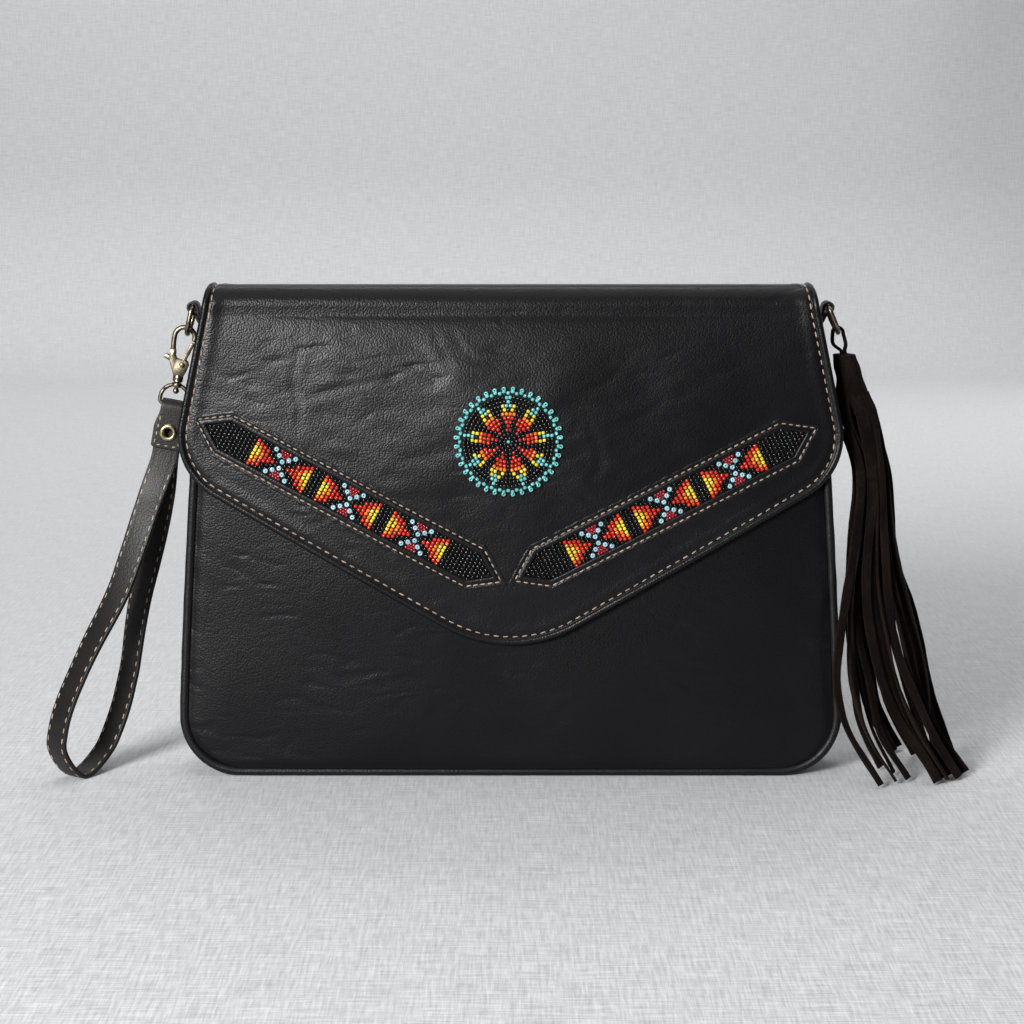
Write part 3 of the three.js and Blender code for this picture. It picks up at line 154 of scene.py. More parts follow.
class Sewn:  # gathers the patches of one mesh, with a flat pattern in millimetres as its UV
    def __init__(self, name):
        self.name = name
        self.points, self.faces, self.flats, self.slots, self.tones = [], [], [], [], []
        self.count = 0

    def patch(self, grid, flat=None, ring=False, slot=0, tone=0.5):
        rows, columns = grid.shape[:2]
        index = self.count + np.arange(rows * columns).reshape(rows, columns)
        if ring:
            index = np.hstack([index, index[:, :1]])
        if flat is None:
            flat = flatOf(grid, ring)
        turn = lambda a: np.stack([a[:-1, :-1], a[:-1, 1:], a[1:, 1:], a[1:, :-1]], 2)
        quads = turn(index).reshape(-1, 4)
        self.points.append(grid.reshape(-1, 3))
        self.faces.extend(quads.tolist())
        self.flats.append(turn(flat).reshape(-1, 2))
        self.slots.append(np.full(len(quads), slot))
        self.tones.append(np.full(len(quads), tone))
        self.count += rows * columns
        return index

    def cap(self, loop, slot=0, tone=0.5):  # one flat face over a ring of points
        loop = np.asarray(loop)
        self.points.append(loop)
        self.faces.append(list(range(self.count, self.count + len(loop))))
        spread = loop - loop.mean(0)
        wide = np.argsort(-np.ptp(loop, axis=0))[:2]
        self.flats.append(spread[:, wide])
        self.slots.append(np.array([slot]))
        self.tones.append(np.array([tone]))
        self.count += len(loop)

    def copies(self, form, formFlat, places, acrosses, ups, slots=None, tones=None):
        # one ring-shaped form at many places: its X lies across, its Y along, its Z up
        rows, columns = form.shape[:2]
        alongs = np.cross(ups, acrosses)
        local = form.reshape(-1, 3)
        placed = (
            places[:, None]
            + local[None, :, 0:1] * acrosses[:, None]
            + local[None, :, 1:2] * alongs[:, None]
            + local[None, :, 2:3] * ups[:, None]
        )
        index = np.arange(rows * columns).reshape(rows, columns)
        index = np.hstack([index, index[:, :1]])
        turn = lambda a: np.stack([a[:-1, :-1], a[:-1, 1:], a[1:, 1:], a[1:, :-1]], 2)
        quads = turn(index).reshape(-1, 4)
        number = len(places)
        shift = self.count + np.arange(number)[:, None, None] * rows * columns
        self.points.append(placed.reshape(-1, 3))
        self.faces.extend((quads[None] + shift).reshape(-1, 4).tolist())
        self.flats.append(np.tile(turn(formFlat).reshape(-1, 2), (number, 1)))
        slots = np.zeros(number) if slots is None else np.asarray(slots)
        tones = np.full(number, 0.5) if tones is None else np.asarray(tones)
        self.slots.append(np.repeat(slots, len(quads)))
        self.tones.append(np.repeat(tones, len(quads)))
        self.count += number * rows * columns

    def make(self, materials, weld=True, sharp=None):
        mesh = bpy.data.meshes.new(self.name)
        mesh.from_pydata((np.vstack(self.points) * 0.001).tolist(), [], self.faces)
        mesh.uv_layers.new(name="pattern").data.foreach_set("uv", np.vstack(self.flats).astype(np.float32).ravel())
        mesh.polygons.foreach_set("material_index", np.concatenate(self.slots).astype(np.int32))
        tone = mesh.attributes.new("tone", "FLOAT", "FACE")
        tone.data.foreach_set("value", np.concatenate(self.tones).astype(np.float32))
        for material in materials:
            mesh.materials.append(material)
        form = bmesh.new()
        form.from_mesh(mesh)
        if weld:
            bmesh.ops.remove_doubles(form, verts=form.verts, dist=2e-6)
        bmesh.ops.recalc_face_normals(form, faces=form.faces)
        form.to_mesh(mesh)
        form.free()
        if sharp is None:
            mesh.shade_smooth()
        else:
            mesh.shade_smooth()
            mesh.set_sharp_from_angle(angle=math.radians(sharp))
        made = bpy.data.objects.new(self.name, mesh)
        bpy.context.scene.collection.objects.link(made)
        return made


def flatOf(grid, ring=False):  # lengths along and across a grid
    closed = np.concatenate([grid, grid[:, :1]], 1) if ring else grid
    across = np.linalg.norm(np.diff(closed, axis=1), axis=2).mean(0)
    along = np.linalg.norm(np.diff(closed, axis=0), axis=2).mean(1)
    u = np.concatenate([[0], np.cumsum(across)])
    v = np.concatenate([[0], np.cumsum(along)])
    return np.stack(np.broadcast_arrays(u[None, :], v[:, None]), 2)


def shell(sewn, outer, inner, flat, slot=0, rimSlot=None):  # a closed sheet between two grids
    rim = slot if rimSlot is None else rimSlot
    sewn.patch(outer, flat, slot=slot)
    sewn.patch(inner, flat, slot=slot)
    for edge in (np.s_[0, :], np.s_[-1, :], np.s_[:, 0], np.s_[:, -1]):
        sewn.patch(np.stack([outer[edge], inner[edge]], 0), np.stack([flat[edge], flat[edge] + 0.8], 0), slot=rim)


def sweep(path, wide, deep, profile, looped=False):  # rings of a profile along a path
    profile = np.broadcast_to(profile, (len(path), *np.shape(profile)[-2:]))
    grid = path[:, None] + profile[..., 0:1] * wide[:, None] + profile[..., 1:2] * deep[:, None]
    return np.concatenate([grid, grid[:1]], 0) if looped else grid


def tangents(path, looped=False):
    if looped:
        return unit(np.roll(path, -1, 0) - np.roll(path, 1, 0))
    return unit(np.gradient(path, axis=0))


def wire(sewn, path, normal, radius, sides=14, looped=False, slot=0, capped=True):
    along = tangents(path, looped)
    deep = np.broadcast_to(np.array(normal, float), path.shape)
    wide = unit(np.cross(along, deep))
    turn = np.linspace(0, 2 * math.pi, sides, endpoint=False)
    grid = sweep(path, wide, deep, radius * np.stack([np.cos(turn), np.sin(turn)], 1), looped)
    sewn.patch(grid, ring=True, slot=slot)
    if capped and not looped:
        sewn.cap(grid[0], slot)
        sewn.cap(grid[-1], slot)


def roundedBar(width, thick, radius, crown=0.0, edgeSteps=4, faceSteps=8):
    # cross-section of a strap: flat faces with a slight crown and rounded edges, from the front left corner
    halfW, halfT = width / 2, thick / 2
    radius = min(radius, halfT * 0.98)
    points = []
    for side, start in ((1, -90), (-1, 90)):
        for t in np.linspace(-1, 1, faceSteps, endpoint=False):
            points.append((side * t * (halfW - radius), -side * (halfT + crown * (1 - t * t))))
        points.extend(
            arc((side * (halfW - radius), -side * (halfT - radius)), radius, start, start + 90, edgeSteps)[:-1]
        )
        points.extend(arc((side * (halfW - radius), side * (halfT - radius)), radius, start + 90, start + 180, edgeSteps))
    return np.array(points)


def turned(sewn, profile, sides, place, slot=0, squash=1.0):
    # a turned form: radius and height pairs, with place() taking its points to their seat
    profile = np.array(profile, float)
    turn = np.linspace(0, 2 * math.pi, sides, endpoint=False)
    ring = np.stack([np.cos(turn), np.sin(turn)], 1)
    grid = np.concatenate(
        [profile[:, None, 0:1] * ring[None], np.broadcast_to(profile[:, None, 1:2], (len(profile), sides, 1))], 2
    )
    sewn.patch(place(grid), ring=True, slot=slot)


# Finishes


def linear(hexColour):  # an sRGB hex value as linear light
    parts = [int(hexColour[i : i + 2], 16) / 255 for i in (1, 3, 5)]
    return (*(p / 12.92 if p <= 0.04045 else ((p + 0.055) / 1.055) ** 2.4 for p in parts), 1.0)


def addNode(tree, kind, settings=(), links=()):
    made = tree.nodes.new(kind)
    for key, value in dict(settings).items():
        if key == "stops":
            ramp = made.color_ramp
            for i, (at, colour) in enumerate(value):
                stop = ramp.elements[i] if i < 2 else ramp.elements.new(at)
                stop.position, stop.color = at, colour
        elif isinstance(key, str) and hasattr(made, key):
            setattr(made, key, value)
        else:
            made.inputs[key].default_value = value
    for key, source in dict(links).items():
        tree.links.new(source, made.inputs[key])
    return made


def startMaterial(name, sockets):
    material = bpy.data.materials.new(name)
    material.use_nodes = True
    tree = material.node_tree
    shader = tree.nodes["Principled BSDF"]
    for socket, value in sockets.items():
        shader.inputs[socket].default_value = value
    return material, tree, shader


def grey(value):
    return (value, value, value, 1.0)


leatherLooks = {
    "grain": 0.98,  # mm between pebbles of the milled grain
    "pore": 0.42,  # mm
    "crease": 7.5,  # mm between the fine creases
    "warp": 5.0,
}


def leather(name, base, worn, roughness, pebble=0.045, pores=0.025, creases=0.2, lean=0.6, level=0.24):
    # Milled full-grain cowhide under a thin acrylic finish: small soft pebbles with painted shade between them, short
    # creases, a low broad shine
    material, tree, shader = startMaterial(name, {"IOR": 1.5, "Specular IOR Level": level})
    pattern = addNode(tree, "ShaderNodeUVMap", {"uv_map": "pattern"})
    bend = addNode(
        tree,
        "ShaderNodeTexNoise",
        {"noise_dimensions": "2D", "Scale": 1 / leatherLooks["warp"], "Detail": 2.0},
        {"Vector": pattern.outputs["UV"]},
    )
    shift = addNode(
        tree,
        "ShaderNodeVectorMath",
        {"operation": "MULTIPLY_ADD", 1: (1.6, 1.6, 0.0)},
        {0: bend.outputs["Color"], 2: pattern.outputs["UV"]},
    )
    pebbles = addNode(
        tree,
        "ShaderNodeTexVoronoi",
        {
            "voronoi_dimensions": "2D",
            "feature": "SMOOTH_F1",
            "Scale": 1 / leatherLooks["grain"],
            "Smoothness": 0.45,
        },
        {"Vector": shift.outputs[0]},
    )
    fine = addNode(
        tree,
        "ShaderNodeTexNoise",
        {"noise_dimensions": "2D", "Scale": 1 / leatherLooks["pore"], "Detail": 3.0, "Roughness": 0.6},
        {"Vector": pattern.outputs["UV"]},
    )
    turnedPattern = addNode(
        tree,
        "ShaderNodeMapping",
        {"Rotation": (0.0, 0.0, lean), "Scale": (0.42, 1.0, 1.0)},
        {"Vector": shift.outputs[0]},
    )
    lines = addNode(
        tree,
        "ShaderNodeTexNoise",
        {
            "noise_dimensions": "2D",
            "noise_type": "RIDGED_MULTIFRACTAL",
            "Scale": 1 / leatherLooks["crease"],
            "Detail": 4.0,
            "Roughness": 0.55,
            "Lacunarity": 2.1,
            "Distortion": 0.35,
        },
        {"Vector": turnedPattern.outputs[0]},
    )
    patches = addNode(
        tree,
        "ShaderNodeTexNoise",
        {"noise_dimensions": "2D", "Scale": 1 / 46, "Detail": 2.0},
        {"Vector": pattern.outputs["UV"]},
    )
    where = addNode(
        tree,
        "ShaderNodeMapRange",
        {"From Min": 0.46, "From Max": 0.62, "To Min": 0.12, "To Max": 1.0},
        {"Value": patches.outputs["Fac"]},
    )
    creased = addNode(
        tree,
        "ShaderNodeMath",
        {"operation": "MULTIPLY"},
        {0: lines.outputs["Fac"], 1: where.outputs["Result"]},
    )
    deep = addNode(
        tree, "ShaderNodeMath", {"operation": "MULTIPLY", 1: -creases}, {0: creased.outputs[0]}
    )
    withPebbles = addNode(
        tree,
        "ShaderNodeMath",
        {"operation": "MULTIPLY_ADD", 1: -pebble * 2},
        {0: pebbles.outputs["Distance"], 2: deep.outputs[0]},
    )
    height = addNode(
        tree,
        "ShaderNodeMath",
        {"operation": "MULTIPLY_ADD", 1: pores},
        {0: fine.outputs["Fac"], 2: withPebbles.outputs[0]},
    )
    bump = addNode(
        tree,
        "ShaderNodeBump",
        {"Strength": 1.0, "Distance": 0.001},  # heights are in millimetres
        {"Height": height.outputs[0]},
    )
    rubbed = addNode(
        tree,
        "ShaderNodeMapRange",
        {"From Min": 0.25, "From Max": 0.8, "To Min": 0.0, "To Max": 1.0},
        {"Value": patches.outputs["Fac"]},
    )
    tint = addNode(
        tree,
        "ShaderNodeMix",
        {"data_type": "RGBA", 6: linear(base), 7: linear(worn)},
        {0: rubbed.outputs["Result"]},
    )
    # painted shade and highlight: the base colour is darker in the hollows between the pebbles and lighter on their
    # tops
    pebbleShade = addNode(
        tree,
        "ShaderNodeMapRange",
        {"From Min": 0.0, "From Max": 0.7, "To Min": 1.12, "To Max": 0.72},
        {"Value": pebbles.outputs["Distance"]},
    )
    shaded = addNode(
        tree,
        "ShaderNodeVectorMath",
        {"operation": "SCALE"},
        {0: tint.outputs[2], "Scale": pebbleShade.outputs["Result"]},
    )
    dull = addNode(
        tree,
        "ShaderNodeMapRange",
        {"From Min": 0.2, "From Max": 0.8, "To Min": roughness - 0.06, "To Max": roughness + 0.08},
        {"Value": fine.outputs["Fac"]},
    )
    tree.links.new(shaded.outputs[0], shader.inputs["Base Color"])
    tree.links.new(dull.outputs["Result"], shader.inputs["Roughness"])
    tree.links.new(bump.outputs["Normal"], shader.inputs["Normal"])
    return material


def suede(name, base, napAndHighlight, fibre=0.7):
    # Split cowhide brushed up to a nap: no shine, a soft pale sheen at the edges, lighter patches where the nap lies
    # over, part tone and part painted highlight
    material, tree, shader = startMaterial(
        name,
        {"Roughness": 0.95, "IOR": 1.45, "Specular IOR Level": 0.1, "Sheen Weight": 0.1, "Sheen Roughness": 0.4,
         "Sheen Tint": linear("#8c7365")},
    )
    pattern = addNode(tree, "ShaderNodeUVMap", {"uv_map": "pattern"})
    along = addNode(
        tree, "ShaderNodeMapping", {"Scale": (1.0, 0.35, 1.0)}, {"Vector": pattern.outputs["UV"]}
    )
    fibres = addNode(
        tree,
        "ShaderNodeTexNoise",
        {"noise_dimensions": "2D", "Scale": 1 / fibre, "Detail": 4.0, "Roughness": 0.7},
        {"Vector": along.outputs[0]},
    )
    lying = addNode(
        tree,
        "ShaderNodeTexNoise",
        {"noise_dimensions": "2D", "Scale": 1 / 9, "Detail": 3.0, "Roughness": 0.6},
        {"Vector": along.outputs[0]},
    )
    both = addNode(
        tree,
        "ShaderNodeMath",
        {"operation": "MULTIPLY"},
        {0: fibres.outputs["Fac"], 1: lying.outputs["Fac"]},
    )
    spread = addNode(
        tree,
        "ShaderNodeMapRange",
        {"From Min": 0.17, "From Max": 0.36},
        {"Value": both.outputs[0]},
    )
    # the lighter colour in specks and patches is partly the nap's own tone and partly painted highlight where the nap
    # catches the light
    tint = addNode(
        tree,
        "ShaderNodeMix",
        {"data_type": "RGBA", 6: linear(base), 7: linear(napAndHighlight)},
        {0: spread.outputs["Result"]},
    )
    tone = addNode(tree, "ShaderNodeAttribute", {"attribute_name": "tone"})
    lift = addNode(
        tree,
        "ShaderNodeMapRange",
        {"To Min": 0.65, "To Max": 1.35},
        {"Value": tone.outputs["Fac"]},
    )
    toned = addNode(
        tree,
        "ShaderNodeVectorMath",
        {"operation": "SCALE"},
        {0: tint.outputs[2], "Scale": lift.outputs["Result"]},
    )
    bump = addNode(
        tree,
        "ShaderNodeBump",
        {"Strength": 0.9, "Distance": 0.0005},
        {"Height": fibres.outputs["Fac"]},
    )
    tree.links.new(toned.outputs[0], shader.inputs["Base Color"])
    tree.links.new(bump.outputs["Normal"], shader.inputs["Normal"])
    return material


def thread(name, light, dark):
    # Bonded polyester thread, three plies twisted and waxed: a slant of painted light and shade along each stitch, dark
    # in the grooves between the plies
    material, tree, shader = startMaterial(
        name, {"Roughness": 0.62, "IOR": 1.5, "Sheen Weight": 0.15, "Sheen Tint": linear(light)}
    )
    pattern = addNode(tree, "ShaderNodeUVMap", {"uv_map": "pattern"})
    slant = addNode(
        tree, "ShaderNodeMapping", {"Rotation": (0.0, 0.0, 0.7)}, {"Vector": pattern.outputs["UV"]}
    )
    plies = addNode(
        tree,
        "ShaderNodeTexWave",
        {"wave_type": "BANDS", "Scale": 0.55, "Distortion": 0.6},  # a ply every 0.55 mm
        {"Vector": slant.outputs[0]},
    )
    # painted shade: the colour follows the plies' bump, dark in the grooves between them and light on their crests
    tint = addNode(
        tree,
        "ShaderNodeMix",
        {"data_type": "RGBA", 6: linear(dark), 7: linear(light)},
        {0: plies.outputs["Fac"]},
    )
    tone = addNode(tree, "ShaderNodeAttribute", {"attribute_name": "tone"})
    lift = addNode(tree, "ShaderNodeMapRange", {"To Min": 0.7, "To Max": 1.3}, {"Value": tone.outputs["Fac"]})
    toned = addNode(
        tree,
        "ShaderNodeVectorMath",
        {"operation": "SCALE"},
        {0: tint.outputs[2], "Scale": lift.outputs["Result"]},
    )
    bump = addNode(
        tree, "ShaderNodeBump", {"Strength": 0.7, "Distance": 0.0001}, {"Height": plies.outputs["Fac"]}
    )
    tree.links.new(toned.outputs[0], shader.inputs["Base Color"])
    tree.links.new(bump.outputs["Normal"], shader.inputs["Normal"])
    return material


def castMetal(name, bright, dark, roughness, patina):
    # Die-cast zinc plated in brass, darkened in a bath and rubbed back: bright on the crests, brown in the hollows
    material, tree, shader = startMaterial(name, {"Metallic": 1.0})
    pattern = addNode(tree, "ShaderNodeUVMap", {"uv_map": "pattern"})
    clouds = addNode(
        tree,
        "ShaderNodeTexNoise",
        {"noise_dimensions": "2D", "Scale": 1 / 2.6, "Detail": 4.0, "Roughness": 0.65},
        {"Vector": pattern.outputs["UV"]},
    )
    edge = addNode(tree, "ShaderNodeNewGeometry")
    worn = addNode(
        tree,
        "ShaderNodeMapRange",
        {"From Min": 0.44, "From Max": 0.58, "To Min": -0.25, "To Max": 0.3},
        {"Value": edge.outputs["Pointiness"]},
    )
    total = addNode(
        tree, "ShaderNodeMath", {"operation": "ADD"}, {0: clouds.outputs["Fac"], 1: worn.outputs["Result"]}
    )
    share = addNode(
        tree,
        "ShaderNodeMapRange",
        {"From Min": patina - 0.22, "From Max": patina + 0.22},
        {"Value": total.outputs[0]},
    )
    tint = addNode(
        tree,
        "ShaderNodeMix",
        {"data_type": "RGBA", 6: linear(dark), 7: linear(bright)},
        {0: share.outputs["Result"]},
    )
    dull = addNode(
        tree,
        "ShaderNodeMapRange",
        {"To Min": roughness + 0.16, "To Max": roughness - 0.06},
        {"Value": share.outputs["Result"]},
    )
    scratches = addNode(
        tree,
        "ShaderNodeTexNoise",
        {"noise_dimensions": "2D", "Scale": 1 / 0.4, "Detail": 2.0},
        {"Vector": pattern.outputs["UV"]},
    )
    bump = addNode(
        tree, "ShaderNodeBump", {"Strength": 0.5, "Distance": 0.00008}, {"Height": scratches.outputs["Fac"]}
    )
    tree.links.new(tint.outputs[2], shader.inputs["Base Color"])
    tree.links.new(dull.outputs["Result"], shader.inputs["Roughness"])
    tree.links.new(bump.outputs["Normal"], shader.inputs["Normal"])
    return material


def glassBead(name, colour):
    # Drawn seed-bead glass, opaque and tumbled in a kiln: a clear bright glint, small differences from bead to bead
    material, tree, shader = startMaterial(name, {"IOR": 1.52, "Roughness": 0.11, "Specular IOR Level": 0.5})
    tone = addNode(tree, "ShaderNodeAttribute", {"attribute_name": "tone"})
    pattern = addNode(tree, "ShaderNodeUVMap", {"uv_map": "pattern"})
    streak = addNode(
        tree,
        "ShaderNodeTexNoise",
        {"noise_dimensions": "2D", "Scale": 1 / 0.8, "Detail": 2.0},
        {"Vector": pattern.outputs["UV"]},
    )
    lift = addNode(tree, "ShaderNodeMapRange", {"To Min": 0.8, "To Max": 1.2}, {"Value": tone.outputs["Fac"]})
    vary = addNode(
        tree,
        "ShaderNodeMath",
        {"operation": "MULTIPLY_ADD", 1: 0.25},
        {0: streak.outputs["Fac"], 2: lift.outputs["Result"]},
    )
    tint = addNode(
        tree,
        "ShaderNodeVectorMath",
        {"operation": "SCALE", 0: linear(colour)[:3]},
        {"Scale": vary.outputs[0]},
    )
    tree.links.new(tint.outputs[0], shader.inputs["Base Color"])
    return material


def wovenCloth(name, yarnGapShade, yarnCrestColour, threadWidth, roughness=0.85, relief=0.12):
    # Plain-woven cotton: one thread over, one under, with slubs where the yarn thickens
    material, tree, shader = startMaterial(
        name, {"Roughness": roughness, "IOR": 1.5, "Specular IOR Level": 0.2, "Sheen Weight": 0.2}
    )
    pattern = addNode(tree, "ShaderNodeUVMap", {"uv_map": "pattern"})
    waves = []
    for direction in ("X", "Y"):
        waves.append(
            addNode(
                tree,
                "ShaderNodeTexWave",
                {"bands_direction": direction, "Scale": 0.157 / threadWidth * 2, "Distortion": 0.8, "Detail": 1.0},
                {"Vector": pattern.outputs["UV"]},
            )
        )
    over = addNode(
        tree,
        "ShaderNodeMath",
        {"operation": "MULTIPLY"},
        {0: waves[0].outputs["Fac"], 1: waves[1].outputs["Fac"]},
    )
    # painted shade: the colour follows the weave's bump, dark in the lines between the yarns and light where they cross
    tint = addNode(
        tree,
        "ShaderNodeMix",
        {"data_type": "RGBA", 6: linear(yarnGapShade), 7: linear(yarnCrestColour)},
        {0: over.outputs[0]},
    )
    bump = addNode(
        tree, "ShaderNodeBump", {"Strength": 0.7, "Distance": relief * 0.001}, {"Height": over.outputs[0]}
    )
    tree.links.new(tint.outputs[2], shader.inputs["Base Color"])
    tree.links.new(bump.outputs["Normal"], shader.inputs["Normal"])
    return material


bodyLeather = leather("milledCowhideBlack", "#08080a", "#0e0e10", 0.35, creases=0.34, level=0.19)
flapLeather = leather("milledCowhideFlap", "#09090b", "#101012", 0.34, creases=0.34, lean=0.9)
weltLeather = leather("pipingCowhideBlack", "#0b0b0c", "#141416", 0.42, pebble=0.05, creases=0.1, lean=0.0)
strapLeather = leather("bridleLeatherDark", "#151312", "#252120", 0.44, pebble=0.04, creases=0.14)
paintedEdge = leather("edgePaintBlack", "#0e0e0f", "#19191a", 0.34, pebble=0.01, pores=0.02, creases=0.02)
liningLeather = leather("splitLeatherLining", "#1b1918", "#262321", 0.7, pebble=0.03, creases=0.05, level=0.25)
# the second colour of each suede is the nap's lighter tone with painted highlight
tasselSuede = suede("suedeDarkBrown", "#090605", "#1d1410")
suedeEdge = suede("suedeCutEdge", "#17100d", "#33271f", 0.25)
# the darker colour of each thread is painted shade for the grooves between its plies
tanThread = thread("waxedThreadTan", "#ab9583", "#75614f")
strapThread = thread("waxedThreadSand", "#ad9c87", "#7a6a56")
blackThread = thread("bondedThreadBlack", "#2a2a2b", "#111112")
antiqueBrass = castMetal("antiqueBrassPlate", "#948873", "#2b2620", 0.33, 0.57)
eyeletBrass = castMetal("rolledBrassEyelet", "#b0a284", "#574b38", 0.34, 0.45)
springSteel = castMetal("springSteelWire", "#9a9a98", "#57575a", 0.32, 0.4)
# the first colour of each cloth is painted shade between its yarns
liningCloth = wovenCloth("cottonLiningBrown", "#352f2c", "#4b4440", 0.55)
beadBacking = wovenCloth("beadingFeltBlack", "#0b0b0c", "#131314", 0.7)
beadColours = {
    "black": "#040405",
    "turquoise": "#5fa5a4",
    "sky": "#83a6b2",
    "yellow": "#ccb534",
    "orange": "#cd6a22",
    "red": "#b02818",
    "dark": "#7a1f26",
}
beadGlass = [glassBead(f"seedBead{name.capitalize()}", colour) for name, colour in beadColours.items()]
beadIndex = {name: i for i, name in enumerate(beadColours)}
print("finishes made")

# The body's surfaces, as in the frame

bagShape = {
    "halfWidth": 163.2,
    "taper": 12.5,
    "taperPower": 1.2,
    "corner": 30.0,
    "mouth": 227.0,
    "bottomDepth": 40.0,
    "mouthDepth": 27.0,
    "bulge": 7.5,
    "bulgeFoot": 12.0,
    "bulgeSide": 2.6,
    "bulgeHeight": 0.6,
    "welt": 4.5,
    "proud": 0.8,
    "panel": 1.8,
    "gusset": 1.8,
    "gussetDrop": 7.0,
}
flapShape = {
    "topHalf": 146.3,
    "shoulderHalf": 148.9,
    "cornerHalf": 165.6,
    "cornerHeight": 151.9,
    "cornerRadius": 33.0,
    "tipHeight": 58.2,
    "tipRadius": 65.0,
    "gap": 0.8,
    "liningThick": 0.8,
    "liningInset": 3.0,
    "layers": 2.9,  # from the flap's inner face to its leather face
    "snapX": -1.0,
    "snapZ": 167.7,
    "snapLift": 2.6,
    "snapSpread": 60.0,
    "foldRise": 11.6,
    "foldRadius": 8.0,
    "hinge": (0.0, 13.2, 227.3),
}
mouth = bagShape["mouth"]
corner = bagShape["corner"]
shoulderZ = mouth + flapShape["foldRise"] - flapShape["foldRadius"]


def halfWidthAt(z, inset=0.0):
    z = np.asarray(z, float)
    reach = corner - inset
    low = bagShape["halfWidth"] - corner + np.sqrt(np.maximum(reach**2 - (corner - z) ** 2, 0))
    climb = np.clip((z - corner) / (mouth - corner), 0, 1.1)
    return np.where(z < corner, low, bagShape["halfWidth"] - inset - bagShape["taper"] * climb ** bagShape["taperPower"])


def halfDepthAt(z):
    return bagShape["bottomDepth"] / 2 + (bagShape["mouthDepth"] - bagShape["bottomDepth"]) / 2 * np.asarray(z) / mouth


def panelFaceAt(x, z):
    side = np.minimum(np.abs(x) / halfWidthAt(z), 1)
    rise = np.clip((z + bagShape["bulgeFoot"]) / (mouth + bagShape["bulgeFoot"]), 0, 1)
    swell = (1 - side ** bagShape["bulgeSide"]) * (4 * rise * (1 - rise)) ** bagShape["bulgeHeight"]
    return halfDepthAt(np.minimum(z, mouth)) - bagShape["proud"] + bagShape["bulge"] * swell


def flapInnerAt(x, z):
    away = np.hypot(x - flapShape["snapX"], z - flapShape["snapZ"]) / flapShape["snapSpread"]
    return panelFaceAt(x, z) + flapShape["gap"] + flapShape["snapLift"] * np.exp(-away * away)


def onFlap(x, z, lift):  # points over the flap's face
    x, z, lift = np.broadcast_arrays(np.asarray(x, float), z, lift)
    return np.stack([x, -(flapInnerAt(x, z) + lift), z], -1)


def flapNormal(x, z):
    step = 0.5
    slopeX = (flapInnerAt(x + step, z) - flapInnerAt(x - step, z)) / (2 * step)
    slopeZ = (flapInnerAt(x, z + step) - flapInnerAt(x, z - step)) / (2 * step)
    return unit(np.stack([-slopeX, -np.ones_like(slopeX), -slopeZ], -1))


def bodyOutline(inset, top, arcRows=14, sideRows=60):  # left mouth, round the bottom, right mouth
    turn = np.linspace(0, math.pi / 2, arcRows + 1)
    z = np.concatenate([corner - corner * np.cos(turn), np.linspace(corner, top, sideRows + 1)[1:]])
    slope = halfWidthAt(z + 0.5) - halfWidthAt(z - 0.5)
    outX = np.where(z < corner, halfWidthAt(z) - bagShape["halfWidth"] + corner, 1.0)
    outZ = np.where(z < corner, z - corner, -slope)
    out = unit(np.stack([outX, outZ], 1))
    right = np.stack([halfWidthAt(z), z], 1) - out * inset
    floor = np.linspace(-1, 1, 62)[1:-1, None] * right[:1] * (1, 0) + right[:1] * (0, 1)
    down = np.tile([[0.0, -1.0]], (60, 1))
    flip = np.array([-1.0, 1.0])
    return np.vstack([(right * flip)[::-1], floor, right]), np.vstack([(out * flip)[::-1], down, out])


# Panels, welts and gusset

panelLook = {"rows": 104, "columns": 126, "sag": 0.35, "pucker": 0.14}


def panelRows(inset, top, rows):
    reach = corner - inset
    arcRows = corner - reach * np.cos(np.linspace(0, math.pi / 2, 22))
    return np.concatenate([arcRows, np.linspace(corner, top, rows)[1:]])


def makePanel(name, facing, node):
    inset = bagShape["welt"] - 0.2
    z = panelRows(inset, mouth, panelLook["rows"])
    share = np.sin(np.linspace(-1, 1, panelLook["columns"]) * math.pi / 2 * 0.92) / math.sin(math.pi / 2 * 0.92)
    half = halfWidthAt(z, inset)
    x = share[None] * half[:, None]
    zz = np.broadcast_to(z[:, None], x.shape)
    edge = np.minimum(half[:, None] - np.abs(x), zz - inset)  # from the seam under the welt
    lower = smoothStep(200, 60, zz)
    sag = panelLook["sag"] * ripples(x, zz, 85, 3 + facing) * smoothStep(0, 18, edge) * (0.4 + 0.8 * lower)
    seam = -0.9 * np.exp(-((edge / 2.6) ** 2))
    pucker = panelLook["pucker"] * np.sin((x + zz) / 4.1 + 1.5 * np.sin(zz / 17)) * np.exp(-edge / 6)
    face = panelFaceAt(x, zz) + sag + seam + pucker
    outer = np.stack([x, facing * face, zz], -1)
    inner = np.stack([x, facing * (face - bagShape["panel"]), zz], -1)
    flat = np.stack([x + 400, zz + 30 * facing], -1)
    sewn = Sewn(name)
    shell(sewn, outer, inner, flat)
    made = sewn.make([bodyLeather])
    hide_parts(node)
    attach(made, "bag")


def makeWelt(name, facing, node):
    radius = bagShape["welt"] / 2
    line, out = bodyOutline(radius, mouth)
    depth = facing * (halfDepthAt(line[:, 1]) - radius)
    path = np.stack([line[:, 0], depth, line[:, 1]], 1)
    wide = np.stack([out[:, 0], 0 * depth, out[:, 1]], 1)
    deep = np.tile([0.0, 1.0, 0.0], (len(path), 1))
    turn = np.linspace(0, 2 * math.pi, 18, endpoint=False)
    run = lengthsAlong(path)
    plump = 1 + 0.025 * ripples(run, 0 * run, 14, 8)
    ring = radius * np.stack([np.cos(turn), np.sin(turn)], 1)
    grid = sweep(path, wide, deep, ring[None] * plump[:, None, None])
    sewn = Sewn(name)
    sewn.patch(grid, ring=True)
    sewn.cap(grid[0])
    sewn.cap(grid[-1])
    made = sewn.make([weltLeather])
    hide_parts(node)
    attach(made, "bag")


